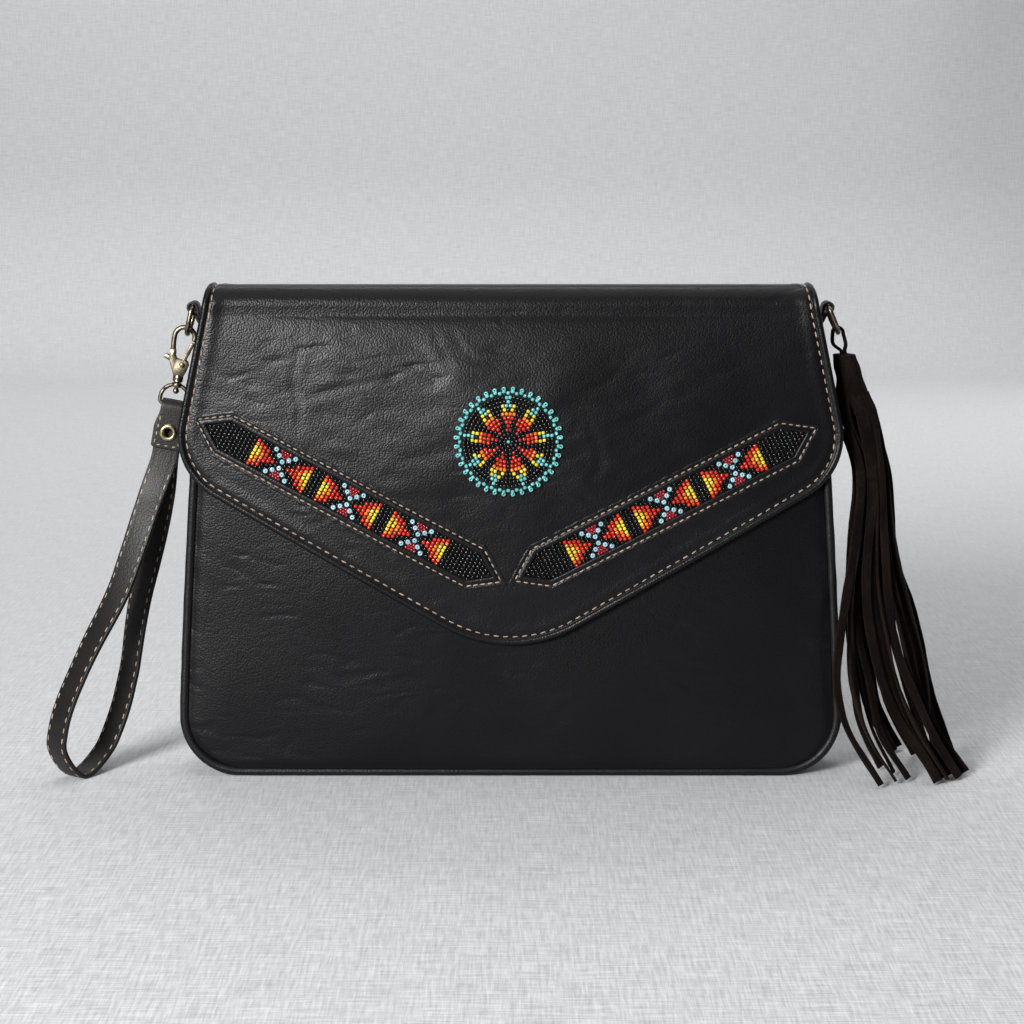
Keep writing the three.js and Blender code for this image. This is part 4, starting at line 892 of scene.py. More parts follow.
def makeGusset():
    top = mouth - bagShape["gussetDrop"]
    line, out = bodyOutline(0, top, 16, 80)
    half = halfDepthAt(line[:, 1]) - bagShape["welt"] + 0.1
    share = np.linspace(-1, 1, 21)
    y = share[None] * half[:, None]
    run = lengthsAlong(line)[:, None]
    seam = -0.55 * np.exp(-((half[:, None] - np.abs(y)) / 1.6) ** 2)
    pucker = 0.1 * np.sin(run / 2.6 + 2 * np.sin(run / 40)) * np.exp(-(half[:, None] - np.abs(y)) / 4)
    belly = 0.18 * ripples(run, y, 40, 12)
    resting = smoothStep(0.0, 1.2, line[:, 1:2])  # flat where the bag stands on its bottom
    lift = (seam + pucker + belly) * np.where(line[:, 1:2] < 1.0, 0.15, 1) * np.maximum(resting, 0.15)
    lift = np.minimum(lift, np.where(line[:, 1:2] < 3, 0, 9))

    def side(depth):
        place = line[:, None] + out[:, None] * (lift - depth)[..., None]
        return np.stack([place[..., 0], y, place[..., 1]], -1)

    flat = np.stack(np.broadcast_arrays(y, run), -1)
    sewn = Sewn("gussetStrip")
    shell(sewn, side(0), side(bagShape["gusset"]), flat)
    made = sewn.make([bodyLeather])
    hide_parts("gusset")
    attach(made, "bag")


def makeLining():
    inset = bagShape["gusset"] + 2.6 + 0.9
    top = mouth - 1.5
    thick = 0.8

    def skin(shrink):
        z = panelRows(inset + shrink, top, 46)
        half = halfWidthAt(z, inset + shrink)
        rim = np.clip((z - top + 20) / 20, 0, 1)
        hug = 1.5 + (0.3 - 1.5) * rim
        share = np.sin(np.linspace(-1, 1, 60) * math.pi / 2)
        loops = []
        for facing, order in ((-1, share), (1, share[::-1])):
            x = order[None] * half[:, None]
            zz = np.broadcast_to(z[:, None], x.shape)
            slack = 0.35 * ripples(x, zz, 30, 21 + facing) * smoothStep(top, top - 30, zz)
            face = panelFaceAt(x, zz) - bagShape["panel"] - hug[:, None] - shrink - np.abs(slack)
            loops.append(np.stack([x, facing * face, zz], -1))
        return np.concatenate(loops, 1)

    outer, inner = skin(0), skin(thick)
    sewn = Sewn("pocketLining")
    sewn.patch(np.concatenate([outer, inner[::-1]], 0), ring=True)
    for skinned in (outer, inner):
        half = skinned.shape[1] // 2
        sewn.patch(np.stack([skinned[0, :half], skinned[0, half:][::-1]], 0))
    made = sewn.make([liningCloth])
    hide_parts("pocket_lining")
    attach(made, "bag")


makePanel("frontPanel", -1, "front_panel")
makePanel("backPanel", 1, "back_panel")
makeWelt("frontWelt", -1, "front_welt")
makeWelt("backWelt", 1, "back_welt")
makeGusset()
makeLining()
print("body sewn")

# Stitches: one small mesh per seam, each stitch its own dash of thread

stitchForm = {"around": 8, "along": 7}


def stitchGrid(length, width, height):
    s = np.linspace(-1, 1, stitchForm["along"])
    waist = np.sqrt(np.clip(1 - np.abs(s) ** 3, 0.02, 1))
    turn = np.linspace(0, 2 * math.pi, stitchForm["around"], endpoint=False)
    grid = np.zeros((len(s), len(turn), 3))
    grid[..., 0] = (s * length / 2)[:, None]
    grid[..., 1] = np.cos(turn)[None] * waist[:, None] * width / 2
    grid[..., 2] = np.sin(turn)[None] * waist[:, None] * height / 2 - (0.35 * height * s**2)[:, None]
    return grid


def stitch(sewn, path, normals, length, pitch, width=0.72, height=0.5, seed=5, tilt=0.05, slot=0):
    total = lengthsAlong(path)[-1]
    number = max(int(round(total / pitch)), 1)
    rng = np.random.default_rng(seed)
    at = (np.arange(number) + 0.5) * total / number + rng.uniform(-0.1, 0.1, number)
    places = atLengths(path, at)
    run = lengthsAlong(path)
    ups = unit(np.stack([np.interp(at, run, normals[:, i]) for i in range(3)], 1))
    along = unit(atLengths(path, np.minimum(at + 0.5, total)) - atLengths(path, np.maximum(at - 0.5, 0)))
    sideways = np.cross(ups, along)
    slant = tilt + rng.uniform(-0.05, 0.05, number)
    along = unit(along + sideways * slant[:, None])
    along = unit(along - ups * (along * ups).sum(1, keepdims=True))
    grid = stitchGrid(length, width, height)
    sewn.copies(grid, flatOf(grid, True), places, along, ups, np.full(number, slot), rng.uniform(0, 1, number))


# The flap: a soft sheet with a turned edge, sunk windows for the beadwork and a stitched seam all round

flapLook = {
    "edgeBand": (0, 0.25, 0.6, 1.0, 1.5, 2.0, 2.5, 2.9, 3.2, 3.5, 3.9, 4.3, 4.8, 5.4, 6.2, 7.4, 9.0),
    "pitch": 1.65,  # mm between the sheet's rows and columns away from the edge
    "roll": 0.85,
    "rollWidth": 3.3,
    "seam": 4.35,  # the stitches lie this far inside the edge
    "stitch": 3.2,
    "stitchPitch": 4.6,
    "sag": 0.24,
    "droop": 1.0,  # how far the leather falls back below the fold
    "windowDepth": 1.55,
}
windowShape = {
    "halfWidth": 7.7,
    "arrow": 11.0,
    "left": ((-8.5, 101.5), (-148.1, 175.2)),
    "right": ((6.0, 101.9), (143.8, 171.2)),
    "seam": 2.6,
}


def flapOutline(inset, arcSteps=26):  # right half, from the middle of the tip to the top of the side
    side = flapShape["cornerHalf"]
    whole = roundedLine(
        [
            (-side, flapShape["cornerHeight"]),
            (0, flapShape["tipHeight"]),
            (side, flapShape["cornerHeight"]),
            (flapShape["shoulderHalf"], shoulderZ),
        ],
        [0, flapShape["tipRadius"], flapShape["cornerRadius"], 0],
        arcSteps,
    )
    line = np.vstack([[0, whole[:, 1].min()], whole[whole[:, 0] > 1e-6]])
    along = np.empty_like(line)
    along[1:-1] = line[2:] - line[:-2]
    along[0], along[-1] = (1, 0), line[-1] - line[-2]
    along = unit(along)
    return line + np.stack([-along[:, 1], along[:, 0]], 1) * inset


def foldPath(lift, rearSteps=14, frontSteps=16):  # Y and Z over the mouth, and the outward direction
    back = float(panelFaceAt(0, mouth))
    front = float(flapInnerAt(flapShape["shoulderHalf"], shoulderZ))
    radius = flapShape["foldRadius"] + lift
    rear = (back - flapShape["foldRadius"] - flapShape["layers"], shoulderZ)
    fore = (flapShape["foldRadius"] - front, shoulderZ)
    path = np.vstack(
        [
            [(rear[0] + radius, mouth + 0.3)],
            arc(rear, radius, 0, 90, rearSteps),
            arc(fore, radius, 90, 180, frontSteps),
        ]
    )
    along = tangents(path)
    return path, np.stack([along[:, 1], -along[:, 0]], 1)


def edgeRelief(d):  # the turned edge: a roll at the rim, a groove, then the pressed line of the seam
    roll = flapLook["roll"] * np.sin(math.pi * np.clip(d / flapLook["rollWidth"], 0, 1)) ** 0.8
    tuck = -0.55 * np.exp(-((d / 0.4) ** 2))
    groove = -0.4 * np.exp(-(((d - 3.5) / 0.4) ** 2))
    land = -0.2 * np.exp(-(((d - flapLook["seam"]) / 0.9) ** 2))
    swell = 0.32 * np.exp(-(((d - 7.2) / 2.4) ** 2))
    return roll + tuck + groove + land + swell


def windowFrame(side):
    inner, outer = (np.array(p) for p in windowShape[side])
    along = unit(outer - inner)
    return inner, along, np.array([-along[1], along[0]]), float(np.linalg.norm(outer - inner))


def windowCorners(side, inset=0.0):
    inner, along, across, length = windowFrame(side)
    halfW, arrow = windowShape["halfWidth"], windowShape["arrow"]
    half = halfW - inset
    point = inset * math.hypot(arrow, halfW) / halfW
    arrow += inset * (math.hypot(arrow, halfW) - arrow) / halfW
    plan = [(point, 0), (arrow, half), (length - arrow, half), (length - point, 0)]
    plan += [(length - arrow, -half), (arrow, -half)]
    return np.array([inner + along * run + across * off for run, off in plan])


def fromWindow(side, x, z):  # signed distance, negative inside the window
    corners = windowCorners(side)
    middle = corners.mean(0)
    far = np.full(np.shape(x), -1e9)
    for a, b in zip(corners, np.roll(corners, -1, 0)):
        normal = unit(np.array([b[1] - a[1], a[0] - b[0]]))
        if normal @ (a - middle) < 0:
            normal = -normal
        far = np.maximum(far, (x - a[0]) * normal[0] + (z - a[1]) * normal[1])
    return far


# Creases that the leather has taken: points in X and Z, depth and half width in millimetres
flapCreases = [
    ([(-136, 196), (-122, 201), (-108, 208), (-96, 208), (-84, 214)], 0.12, 1.5),
    ([(-98, 216), (-104, 204), (-105, 193), (-102, 186), (-103, 168)], 0.24, 1.5),
    ([(-102, 186), (-84, 193), (-63, 197), (-40, 207)], 0.24, 1.5),
    ([(-40, 230), (-34, 213), (-26, 198)], 0.24, 1.5),
    ([(-50, 216), (-38, 206), (-28, 201)], 0.16, 1.4),
    ([(-30, 228), (-24, 213), (-14, 204)], 0.18, 1.5),
    ([(-60, 150), (-52, 158), (-40, 161)], 0.2, 1.6),
    ([(34, 178), (41, 168), (43, 156), (38, 146)], 0.3, 2.0),
    ([(28, 150), (36, 140), (48, 133)], 0.25, 1.8),
    ([(30, 190), (46, 196), (58, 208)], 0.18, 1.6),
    ([(50, 176), (64, 180), (78, 192)], 0.15, 1.5),
    ([(10, 214), (26, 219), (44, 217), (60, 222)], 0.16, 1.6),
    ([(84, 206), (96, 200), (112, 203)], 0.16, 1.6),
    ([(-30, 132), (-18, 126), (-2, 128), (12, 124)], 0.18, 1.6),
    ([(-92, 172), (-80, 166), (-70, 168)], 0.14, 1.5),
]


def creased(x, z):
    total = np.zeros(np.shape(x))
    for points, depth, width in flapCreases:
        path = curveThrough([(a, b, 0) for a, b in points], 24)[:, :2]
        d = distanceTo(path, x, z)
        ends = np.minimum(np.hypot(x - path[0, 0], z - path[0, 1]), np.hypot(x - path[-1, 0], z - path[-1, 1]))
        fade = smoothStep(0, 9, ends)
        total += fade * depth * (0.2 * np.exp(-(((d - 2.2 * width) / (1.5 * width)) ** 2)) - 0.55 * np.exp(-((d / width) ** 2)))
    return total


def faceRelief(x, z):  # how far the leather stands off its plain surface, away from the edge
    away = np.hypot(x - flapShape["snapX"], z - flapShape["snapZ"])
    turn = np.arctan2(z - flapShape["snapZ"], x - flapShape["snapX"])
    pull = 0.2 * np.sin(7 * turn + 2 * np.sin(2 * turn)) * np.exp(-(((away - 36) / 12) ** 2))
    soft = flapLook["sag"] * ripples(x, z, 62, 11) + 0.07 * ripples(x, z * 1.5, 19, 12)
    relief = soft + pull + creased(x, z)
    for side in ("left", "right"):
        relief = relief * smoothStep(0.5, 8.0, fromWindow(side, x, z))
    return relief


def windowSink(x, z):
    near = np.minimum(fromWindow("left", x, z), fromWindow("right", x, z))
    return flapLook["windowDepth"] * (1 - smoothStep(0.0, 2.3, near))


def leatherLift(x, z):  # the leather's face over the flap's inner surface
    d = distanceTo(flapOutline(0), np.abs(x), z)
    under = np.maximum(shoulderZ - z, 0)
    soft = faceRelief(x, z) * smoothStep(0, 32, under) - flapLook["droop"] * np.exp(-under / 15)
    return flapShape["layers"] + edgeRelief(d) + soft * smoothStep(2.5, 9, d) - windowSink(x, z)


def flapSheet(lift, inset, columnsAt, bandAt, pitch, relief):
    outline = flapOutline(inset)
    run = lengthsAlong(outline)
    cornerShare = run[-2] / run[-1]
    path, out = foldPath(lift)
    t = np.clip(np.arange(len(path)) / (len(path) - 1) - 0.5, 0, 1) * 2
    half = flapShape["topHalf"] + (flapShape["shoulderHalf"] - flapShape["topHalf"]) * t - inset
    x = columnsAt[None] * half[:, None]
    front = float(flapInnerAt(flapShape["shoulderHalf"], shoulderZ))
    ease = np.clip((np.arange(len(path)) - 15) / (len(path) - 16), 0, 1) ** 2
    extra = (flapInnerAt(x[-1], shoulderZ) - front)[None] * ease[:, None]
    edge = (1 - np.abs(columnsAt))[None] * half[:, None]
    settle = (ease * (1.6 - 0.6 * np.sqrt(ease)))[:, None]
    droop = flapLook["droop"] * settle * smoothStep(2.5, 9, edge)
    puff = edgeRelief(edge) - droop if relief else 0 * x
    y = path[:, None, 0] + out[:, None, 0] * puff - extra
    z = path[:, None, 1] + out[:, None, 1] * puff
    fold = np.stack([x, y, z], -1)
    foldRun = lengthsAlong(foldPath(2)[0])
    lower = atLengths(outline, np.abs(columnsAt) * cornerShare * run[-1])
    lower[:, 0] *= np.sign(columnsAt)
    drop = shoulderZ - lower[:, 1]
    number = int(round((shoulderZ - flapShape["tipHeight"]) / pitch))
    open_ = (np.arange(1, number) / number)[:, None] * (1 - bandAt[-1] * 1.13 / drop)[None]
    band = 1 - (bandAt[::-1] * 1.13)[:, None] / drop[None]
    t = np.vstack([open_, band])
    x = (columnsAt * (flapShape["shoulderHalf"] - inset))[None] * (1 - t) + lower[None, :, 0] * t
    z = shoulderZ * (1 - t) + lower[None, :, 1] * t
    height = lift + (leatherLift(x, z) - flapShape["layers"] if relief else 0)
    face = onFlap(x, z, height)
    foldFlat = np.stack([fold[..., 0] + 200, np.broadcast_to(foldRun[:, None], fold.shape[:2])], -1)
    faceFlat = np.stack([x + 200, foldRun[-1] + shoulderZ - z], -1)
    return np.vstack([fold, face]), np.vstack([foldFlat, faceFlat])


def sharesOf(band, pitch, half=150.0):
    rim = 1 - np.array(band) / half
    inside = np.linspace(0, rim[-1], int(rim[-1] * half / pitch), endpoint=False)
    right = np.concatenate([inside, rim[::-1]])
    return np.concatenate([-right[:0:-1], right])


def bendOverHinge(made):  # the object's placement is baked into its mesh
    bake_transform(made)


def makeFlap():
    band = np.array(flapLook["edgeBand"])
    columns = sharesOf(band, flapLook["pitch"])
    outer, flat = flapSheet(flapShape["layers"], 0, columns, band, flapLook["pitch"], True)
    inner, _ = flapSheet(1.1, 0, columns, band, flapLook["pitch"], False)
    sewn = Sewn("flapLeather")
    shell(sewn, outer, inner, flat)
    made = sewn.make([flapLeather])
    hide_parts("flap_leather")
    bendOverHinge(made)
    coarse = np.array([0, 0.5, 1.2, 2.4, 4.0, 6.0, 9.0])
    columns = sharesOf(coarse, 4.0)
    inset = flapShape["liningInset"]
    outer, flat = flapSheet(flapShape["liningThick"], inset, columns, coarse, 4.0, False)
    inner, _ = flapSheet(0.0, inset, columns, coarse, 4.0, False)
    sewn = Sewn("flapLining")
    shell(sewn, outer, inner, flat)
    made = sewn.make([liningLeather])
    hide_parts("flap_lining")
    bendOverHinge(made)


def flapSeam():  # the stitched line from the back of the fold down one side, round the tip and up again
    inset = flapLook["seam"]
    path, out = foldPath(flapShape["layers"] + 0.02)
    t = np.clip(np.arange(len(path)) / (len(path) - 1) - 0.5, 0, 1) * 2
    half = flapShape["topHalf"] + (flapShape["shoulderHalf"] - flapShape["topHalf"]) * t - inset
    fold = np.stack([half, path[:, 0], path[:, 1]], 1)
    foldUp = np.stack([0 * half, out[:, 0], out[:, 1]], 1)
    side = evenly(flapOutline(inset)[::-1], 400)
    face = onFlap(side[:, 0], side[:, 1], flapShape["layers"] - 0.12)
    faceUp = flapNormal(side[:, 0], side[:, 1])
    right, rightUp = np.vstack([fold[:-1], face[4:]]), np.vstack([foldUp[:-1], faceUp[4:]])
    flip = np.array([-1.0, 1.0, 1.0])
    seam = np.vstack([right, (right * flip)[-2::-1]])
    ups = np.vstack([rightUp, (rightUp * flip)[-2::-1]])
    sewn = Sewn("flapStitches")
    stitch(sewn, seam, ups, flapLook["stitch"], flapLook["stitchPitch"], 0.75, 0.6, 31)
    made = sewn.make([tanThread], weld=False)
    bendOverHinge(made)


def backSeam():  # where the flap is sewn to the top of the back panel
    x = np.linspace(-143, 143, 300)
    z = np.full_like(x, mouth - 4.4)
    path = np.stack([x, panelFaceAt(x, z) + 0.05, z], 1)
    ups = np.tile([0.0, 1.0, 0.03], (len(x), 1))
    sewn = Sewn("backStitches")
    stitch(sewn, path, ups, flapLook["stitch"], flapLook["stitchPitch"], 0.75, 0.6, 32)
    made = sewn.make([tanThread], weld=False)
    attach(made, "bag")


makeFlap()
flapSeam()
backSeam()
print("flap sewn")

# Window rims: the leather turned under round each window, and its seam


def windowRing(side, out, pitch=1.1):  # points round a window, this far outside its edge
    corners = windowCorners(side)
    spread = windowCorners(side, -out)
    ring = []
    for i, place in enumerate(corners):
        number = int(np.linalg.norm(corners[(i + 1) % len(corners)] - place) / pitch)
        share = np.arange(number)[:, None] / number
        ring.append(spread[i] * (1 - share) + spread[(i + 1) % len(corners)] * share)
    return np.vstack(ring)


# Height of the turned rim over the leather, by distance out from the window's edge: a flat lip, then the seam's groove
rimProfile = [
    (-0.55, -1.6), (-0.5, -0.6), (-0.35, -0.12), (-0.1, 0.16), (0.3, 0.3), (0.9, 0.34), (1.5, 0.28), (1.9, 0.1),
    (2.25, -0.14), (2.6, -0.24), (2.95, -0.14), (3.3, 0.06), (3.8, 0.14), (4.3, 0.08), (4.8, -0.03), (5.2, -0.3),
    (5.2, -0.7), (3.0, -1.3), (-0.2, -1.65),
]


def makeRim(side):
    profile = np.array(rimProfile)
    place = np.stack([windowRing(side, out) for out in profile[:, 0]], 1)
    place = np.concatenate([place, place[:1]], 0)
    x, z = place[..., 0], place[..., 1]
    pucker = 0.07 * ripples(x, z, 5.0, 17) * smoothStep(1.5, 3.5, profile[None, :, 0])
    edge = smoothStep(2.5, 9, distanceTo(flapOutline(0), np.abs(x), z))
    grid = onFlap(x, z, flapShape["layers"] + profile[None, :, 1] + faceRelief(x, z) * edge + pucker)
    foldRun = lengthsAlong(foldPath(2)[0])[-1]
    flat = np.stack([x + 200, foldRun + shoulderZ - z], -1)
    flat = np.concatenate([flat, flat[:, :1]], 1)
    sewn = Sewn(f"{side}WindowRim")
    sewn.patch(grid, flat, ring=True)
    made = sewn.make([flapLeather])
    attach(made, "flap")
    sewn = Sewn(f"{side}WindowStitches")
    corners = windowCorners(side, -windowShape["seam"])
    for i, (start, end) in enumerate(zip(corners, np.roll(corners, -1, 0))):
        line = evenly(np.array([start, end]), 60)
        line = line + unit(end - start) * np.linspace(0.25, -0.25, 61)[:, None]
        lift = flapShape["layers"] - 0.06 + faceRelief(line[:, 0], line[:, 1])
        path = onFlap(line[:, 0], line[:, 1], lift)
        stitch(sewn, path, flapNormal(line[:, 0], line[:, 1]), 2.75, 3.6, 0.74, 0.6, 41 + i + len(side))
    made = sewn.make([tanThread], weld=False)
    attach(made, "flap")


makeRim("left")
makeRim("right")
print("windows bound")

# Beadwork: every bead is its own ring of glass, coloured by a rule from its place in the pattern

beadLook = {
    "across": 1.79,  # pitch of the seed beads
    "along": 2.06,
    "radius": 0.87,
    "length": 1.5,
    "hole": 0.36,
    "blackEnd": 13,  # columns
    "fan": 5,
    "cross": 5,
    "bar": 3,
    "bigRadius": 1.22,
    "bigLength": 1.15,
    "seat": 2.2,  # height of the bead's middle over the flap's inner surface
}


def beadGrid(radius, length, hole, around=11):  # a ring of glass whose hole lies along X
    h = length / 2
    profile = np.array(
        [(hole, -h * 0.78), (hole + 0.16, -h), (radius * 0.72, -h * 0.98), (radius * 0.97, -h * 0.52),
         (radius, 0), (radius * 0.97, h * 0.52), (radius * 0.72, h * 0.98), (hole + 0.16, h), (hole, h * 0.78)]
    )
    turn = np.linspace(0, 2 * math.pi, around, endpoint=False)
    grid = np.zeros((len(profile) + 1, around, 3))
    closed = np.vstack([profile, profile[:1]])
    grid[..., 0] = closed[:, 1:2]
    grid[..., 1] = closed[:, 0:1] * np.cos(turn)
    grid[..., 2] = closed[:, 0:1] * np.sin(turn)
    return grid


def stripColour(u, v, halfLength):  # u from the strip's middle and v from its axis, in millimetres
    pitch = beadLook["along"]
    fan, cross, bar = beadLook["fan"] * pitch, beadLook["cross"] * pitch, beadLook["bar"] * pitch
    period = 2 * fan + cross + bar
    place = (u + period / 2) % period - period / 2  # from the middle of the nearest cross
    if abs(u) > 1.5 * period - bar / 2:
        return "black"
    reach = abs(place)
    if reach > cross / 2 + fan:
        return "black"
    if reach > cross / 2 - 0.45 * fan:
        fromBase = cross / 2 + fan - reach
        widest = 7.6 * (1 - max(fromBase - 1.2, 0) / (fan * 1.08))
        if abs(v) > widest:
            return "black"
        far = math.hypot(fromBase * 0.95 - 0.9, v * 0.78)
        return "yellow" if far < 2.45 else "orange" if far < 4.2 else "red"
    return "black"


def makeStrip(side, node):
    inner, along, across, length = windowFrame(side)
    rows = 8
    columns = int(length / beadLook["along"]) + 1
    columns += 1 - columns % 2
    rng = np.random.default_rng(50 + len(side))
    plan, colours = [], []
    for k in range(columns):
        u = (k - (columns - 1) / 2) * beadLook["along"]
        for j in range(rows):
            v = (j - (rows - 1) / 2) * beadLook["across"] + (0.42 if k % 2 else -0.42)
            fromTip = length / 2 - abs(u)
            if abs(v) > windowShape["halfWidth"] * min(fromTip / windowShape["arrow"], 1) - 0.75 + 0.5 * (fromTip > 11):
                continue
            plan.append((u, v))
            colours.append(stripColour(u, v, length / 2))
    plan = np.array(plan)
    period = (2 * beadLook["fan"] + beadLook["cross"] + beadLook["bar"]) * beadLook["along"]
    big, small = [], []
    for middle in (-period, 0, period):
        for up in (-1, 1):
            for step in (-2, -1, 0, 1, 2):
                big.append((middle + step * 2.6, up * (1.75 + 0.82 * abs(step) * 2.6)))
            for row in range(3):
                small.extend((middle + (i - (row + 1) / 2) * 1.5, up * (4.05 + 1.28 * row)) for i in range(row + 2))
    big, small = np.array(big), np.array(small)
    near = np.array([min(np.hypot(*(big - p).T).min(), np.hypot(*(small - p).T).min() + 0.2) for p in plan])
    keep = near > 1.3
    plan, colours = plan[keep], [c for c, k in zip(colours, keep) if k]

    def placed(points, lift):
        flatPlace = inner + along * (points[:, 0:1] + length / 2) + across * points[:, 1:2]
        return onFlap(flatPlace[:, 0], flatPlace[:, 1], lift), flapNormal(flatPlace[:, 0], flatPlace[:, 1])

    sewn = Sewn(f"{side}Beadwork")
    places, ups = placed(plan, beadLook["seat"])
    places = places + rng.normal(0, 0.07, places.shape)
    axis = np.array([across[0], 0, across[1]]) + rng.normal(0, 0.05, places.shape)
    axis = unit(axis - ups * (axis * ups).sum(1, keepdims=True))
    form = beadGrid(beadLook["radius"], beadLook["length"], beadLook["hole"])
    slots = [beadIndex[c] for c in colours]
    sewn.copies(form, flatOf(form, True), places, axis, ups, slots, rng.uniform(0, 1, len(plan)))
    places, ups = placed(big, beadLook["seat"] + 0.35)
    standing = unit(ups + rng.normal(0, 0.08, ups.shape))
    side1 = unit(np.cross(standing, np.array([0.3, 0.1, 1.0])))
    form = beadGrid(beadLook["bigRadius"], beadLook["bigLength"], 0.3, 14)
    sewn.copies(form, flatOf(form, True), places, standing, side1, np.full(len(big), beadIndex["sky"]), rng.uniform(0.3, 1, len(big)))
    places, ups = placed(small, beadLook["seat"] + 0.1)
    axis = unit(rng.normal(0, 1, ups.shape) * 0.4 + np.array([across[0], 0, across[1]]))
    axis = unit(axis - ups * (axis * ups).sum(1, keepdims=True))
    form = beadGrid(0.76, 1.25, 0.28)
    sewn.copies(form, flatOf(form, True), places, axis, ups, np.full(len(small), beadIndex["dark"]), rng.uniform(0, 1, len(small)))
    made = sewn.make(beadGlass, weld=False)
    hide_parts(node)
    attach(made, "flap")
    run = np.linspace(0.3, length - 0.3, 90)
    halfW = (windowShape["halfWidth"] + 0.3) * np.clip(np.minimum(run, length - run) / windowShape["arrow"] + 0.06, 0.05, 1)
    flatPlace = inner + along * run[:, None, None] + across * (np.linspace(-1, 1, 13)[None, :] * halfW[:, None])[..., None]
    top = onFlap(flatPlace[..., 0], flatPlace[..., 1], 1.62)
    low = onFlap(flatPlace[..., 0], flatPlace[..., 1], 1.42)
    sewn = Sewn(f"{side}BeadBacking")
    shell(sewn, top, low, flatOf(top))
    made = sewn.make([beadBacking])
    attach(made, "flap")


rosetteLook = {
    "x": -1.0,
    "z": 167.7,
    "radius": 24.0,
    "seat": 3.2,
    "dome": 0.55,
    "ring": 1.93,  # mm between the rounds of beads
    "petals": 9,
    "turn": 90.0,
    "edgeBeads": 72,
    "edgeRadius": 23.7,
    "picots": 36,
    "picotRadius": 25.35,
}


def rosetteColour(r, turn):
    step = 2 * math.pi / rosetteLook["petals"]
    off = (turn - math.radians(rosetteLook["turn"]) + step / 2) % step - step / 2
    aside = abs(r * math.sin(off))
    if r < 1:
        return "turquoise"
    if r > 18.2:
        return "turquoise" if aside < (1.45 if r < 20.2 else 1.0) else "black"
    if r < 4.6 or aside > min(2.95, 0.6 + 0.33 * (r - 4.5)):
        return "black"
    if r > 14.0 and aside < 0.95:
        return "turquoise" if r > 16.9 else "black"
    return "dark" if r < 6.4 else "red" if r < 12.2 else "orange" if r < 14.4 else "yellow"


def makeRosette():
    look = rosetteLook
    rng = np.random.default_rng(77)
    rings = int(look["edgeRadius"] / look["ring"]) - 1
    plan, colours = [(0.0, 0.0)], ["turquoise"]
    for k in range(1, rings + 1):
        r = k * look["ring"]
        number = int(round(2 * math.pi * r / 1.82))
        for i in range(number):
            turn = math.radians(look["turn"]) + 2 * math.pi * (i + 0.5 * (k % 2)) / number
            plan.append((r, turn))
            colours.append(rosetteColour(r, turn))
    plan = np.array(plan)
    seat = look["seat"] + 0.95 + look["dome"] * (1 - (plan[:, 0] / look["radius"]) ** 2)

    def placed(r, turn, lift):
        x, z = look["x"] + r * np.cos(turn), look["z"] + r * np.sin(turn)
        ups = flapNormal(x, z)
        return onFlap(x, z, lift), ups, np.stack([-np.sin(turn), 0 * turn, np.cos(turn)], 1)

    sewn = Sewn("rosetteBeads")
    places, ups, round_ = placed(plan[:, 0], plan[:, 1], seat)
    places = places + rng.normal(0, 0.06, places.shape)
    axis = unit(round_ + rng.normal(0, 0.06, round_.shape))
    axis = unit(axis - ups * (axis * ups).sum(1, keepdims=True))
    form = beadGrid(beadLook["radius"], beadLook["length"], beadLook["hole"])
    slots = [beadIndex[c] for c in colours]
    sewn.copies(form, flatOf(form, True), places, axis, ups, slots, rng.uniform(0, 1, len(plan)))
    profile = [(0, 0), (look["radius"] - 0.4, 0), (look["radius"], 0.2), (look["radius"] - 0.2, 0.5)]
    profile += [(look["radius"] / 2, 0.5 + look["dome"] * 0.7), (0, 0.5 + look["dome"])]

    def seatOn(grid):
        x, z = look["x"] + grid[..., 0], look["z"] + grid[..., 1]
        return onFlap(x, z, look["seat"] + grid[..., 2])

    turned(sewn, profile, 64, seatOn, slot=len(beadGlass))
    made = sewn.make([*beadGlass, beadBacking], weld=False)
    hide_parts("rosette")
    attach(made, "flap")

    sewn = Sewn("rosetteEdging")
    turn = 2 * math.pi * np.arange(look["edgeBeads"]) / look["edgeBeads"]
    zigzag = np.where(np.arange(len(turn)) % 2, 0.4, -0.3)
    places, ups, round_ = placed(look["edgeRadius"] + zigzag, turn, look["seat"] + 0.95)
    lean = unit(round_ + ups * (0.5 * np.where(np.arange(len(turn)) % 2, 1, -1))[:, None])
    up2 = unit(ups - lean * (ups * lean).sum(1, keepdims=True))
    slot = np.full(len(turn), beadIndex["turquoise"])
    sewn.copies(form, flatOf(form, True), places, lean, up2, slot, rng.uniform(0, 1, len(turn)))
    turn = 2 * math.pi * (np.arange(look["picots"]) + 0.5) / look["picots"]
    places, ups, round_ = placed(np.full_like(turn, look["picotRadius"]), turn, look["seat"] + 0.9)
    places = places + rng.normal(0, 0.06, places.shape)
    axis = unit(ups + 0.35 * round_ + rng.normal(0, 0.1, ups.shape))
    up2 = unit(np.cross(axis, ups + np.array([0.2, 0.7, 0.9])))
    form = beadGrid(1.08, 1.1, 0.4, 14)
    slot = np.full(len(turn), beadIndex["turquoise"])
    sewn.copies(form, flatOf(form, True), places, axis, up2, slot, rng.uniform(0.4, 1, len(turn)))
    made = sewn.make(beadGlass, weld=False)
    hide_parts("rosette_edging")
    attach(made, "flap")


makeStrip("left", "left_bead_strip")
makeStrip("right", "right_bead_strip")
makeRosette()
print("beads sewn on")

# Magnetic snap behind the rosette

snapLook = {"radius": 7.5, "socket": 1.6, "plate": 0.9, "stud": 2.2, "reach": 1.1, "backing": 0.6, "clear": 0.3}


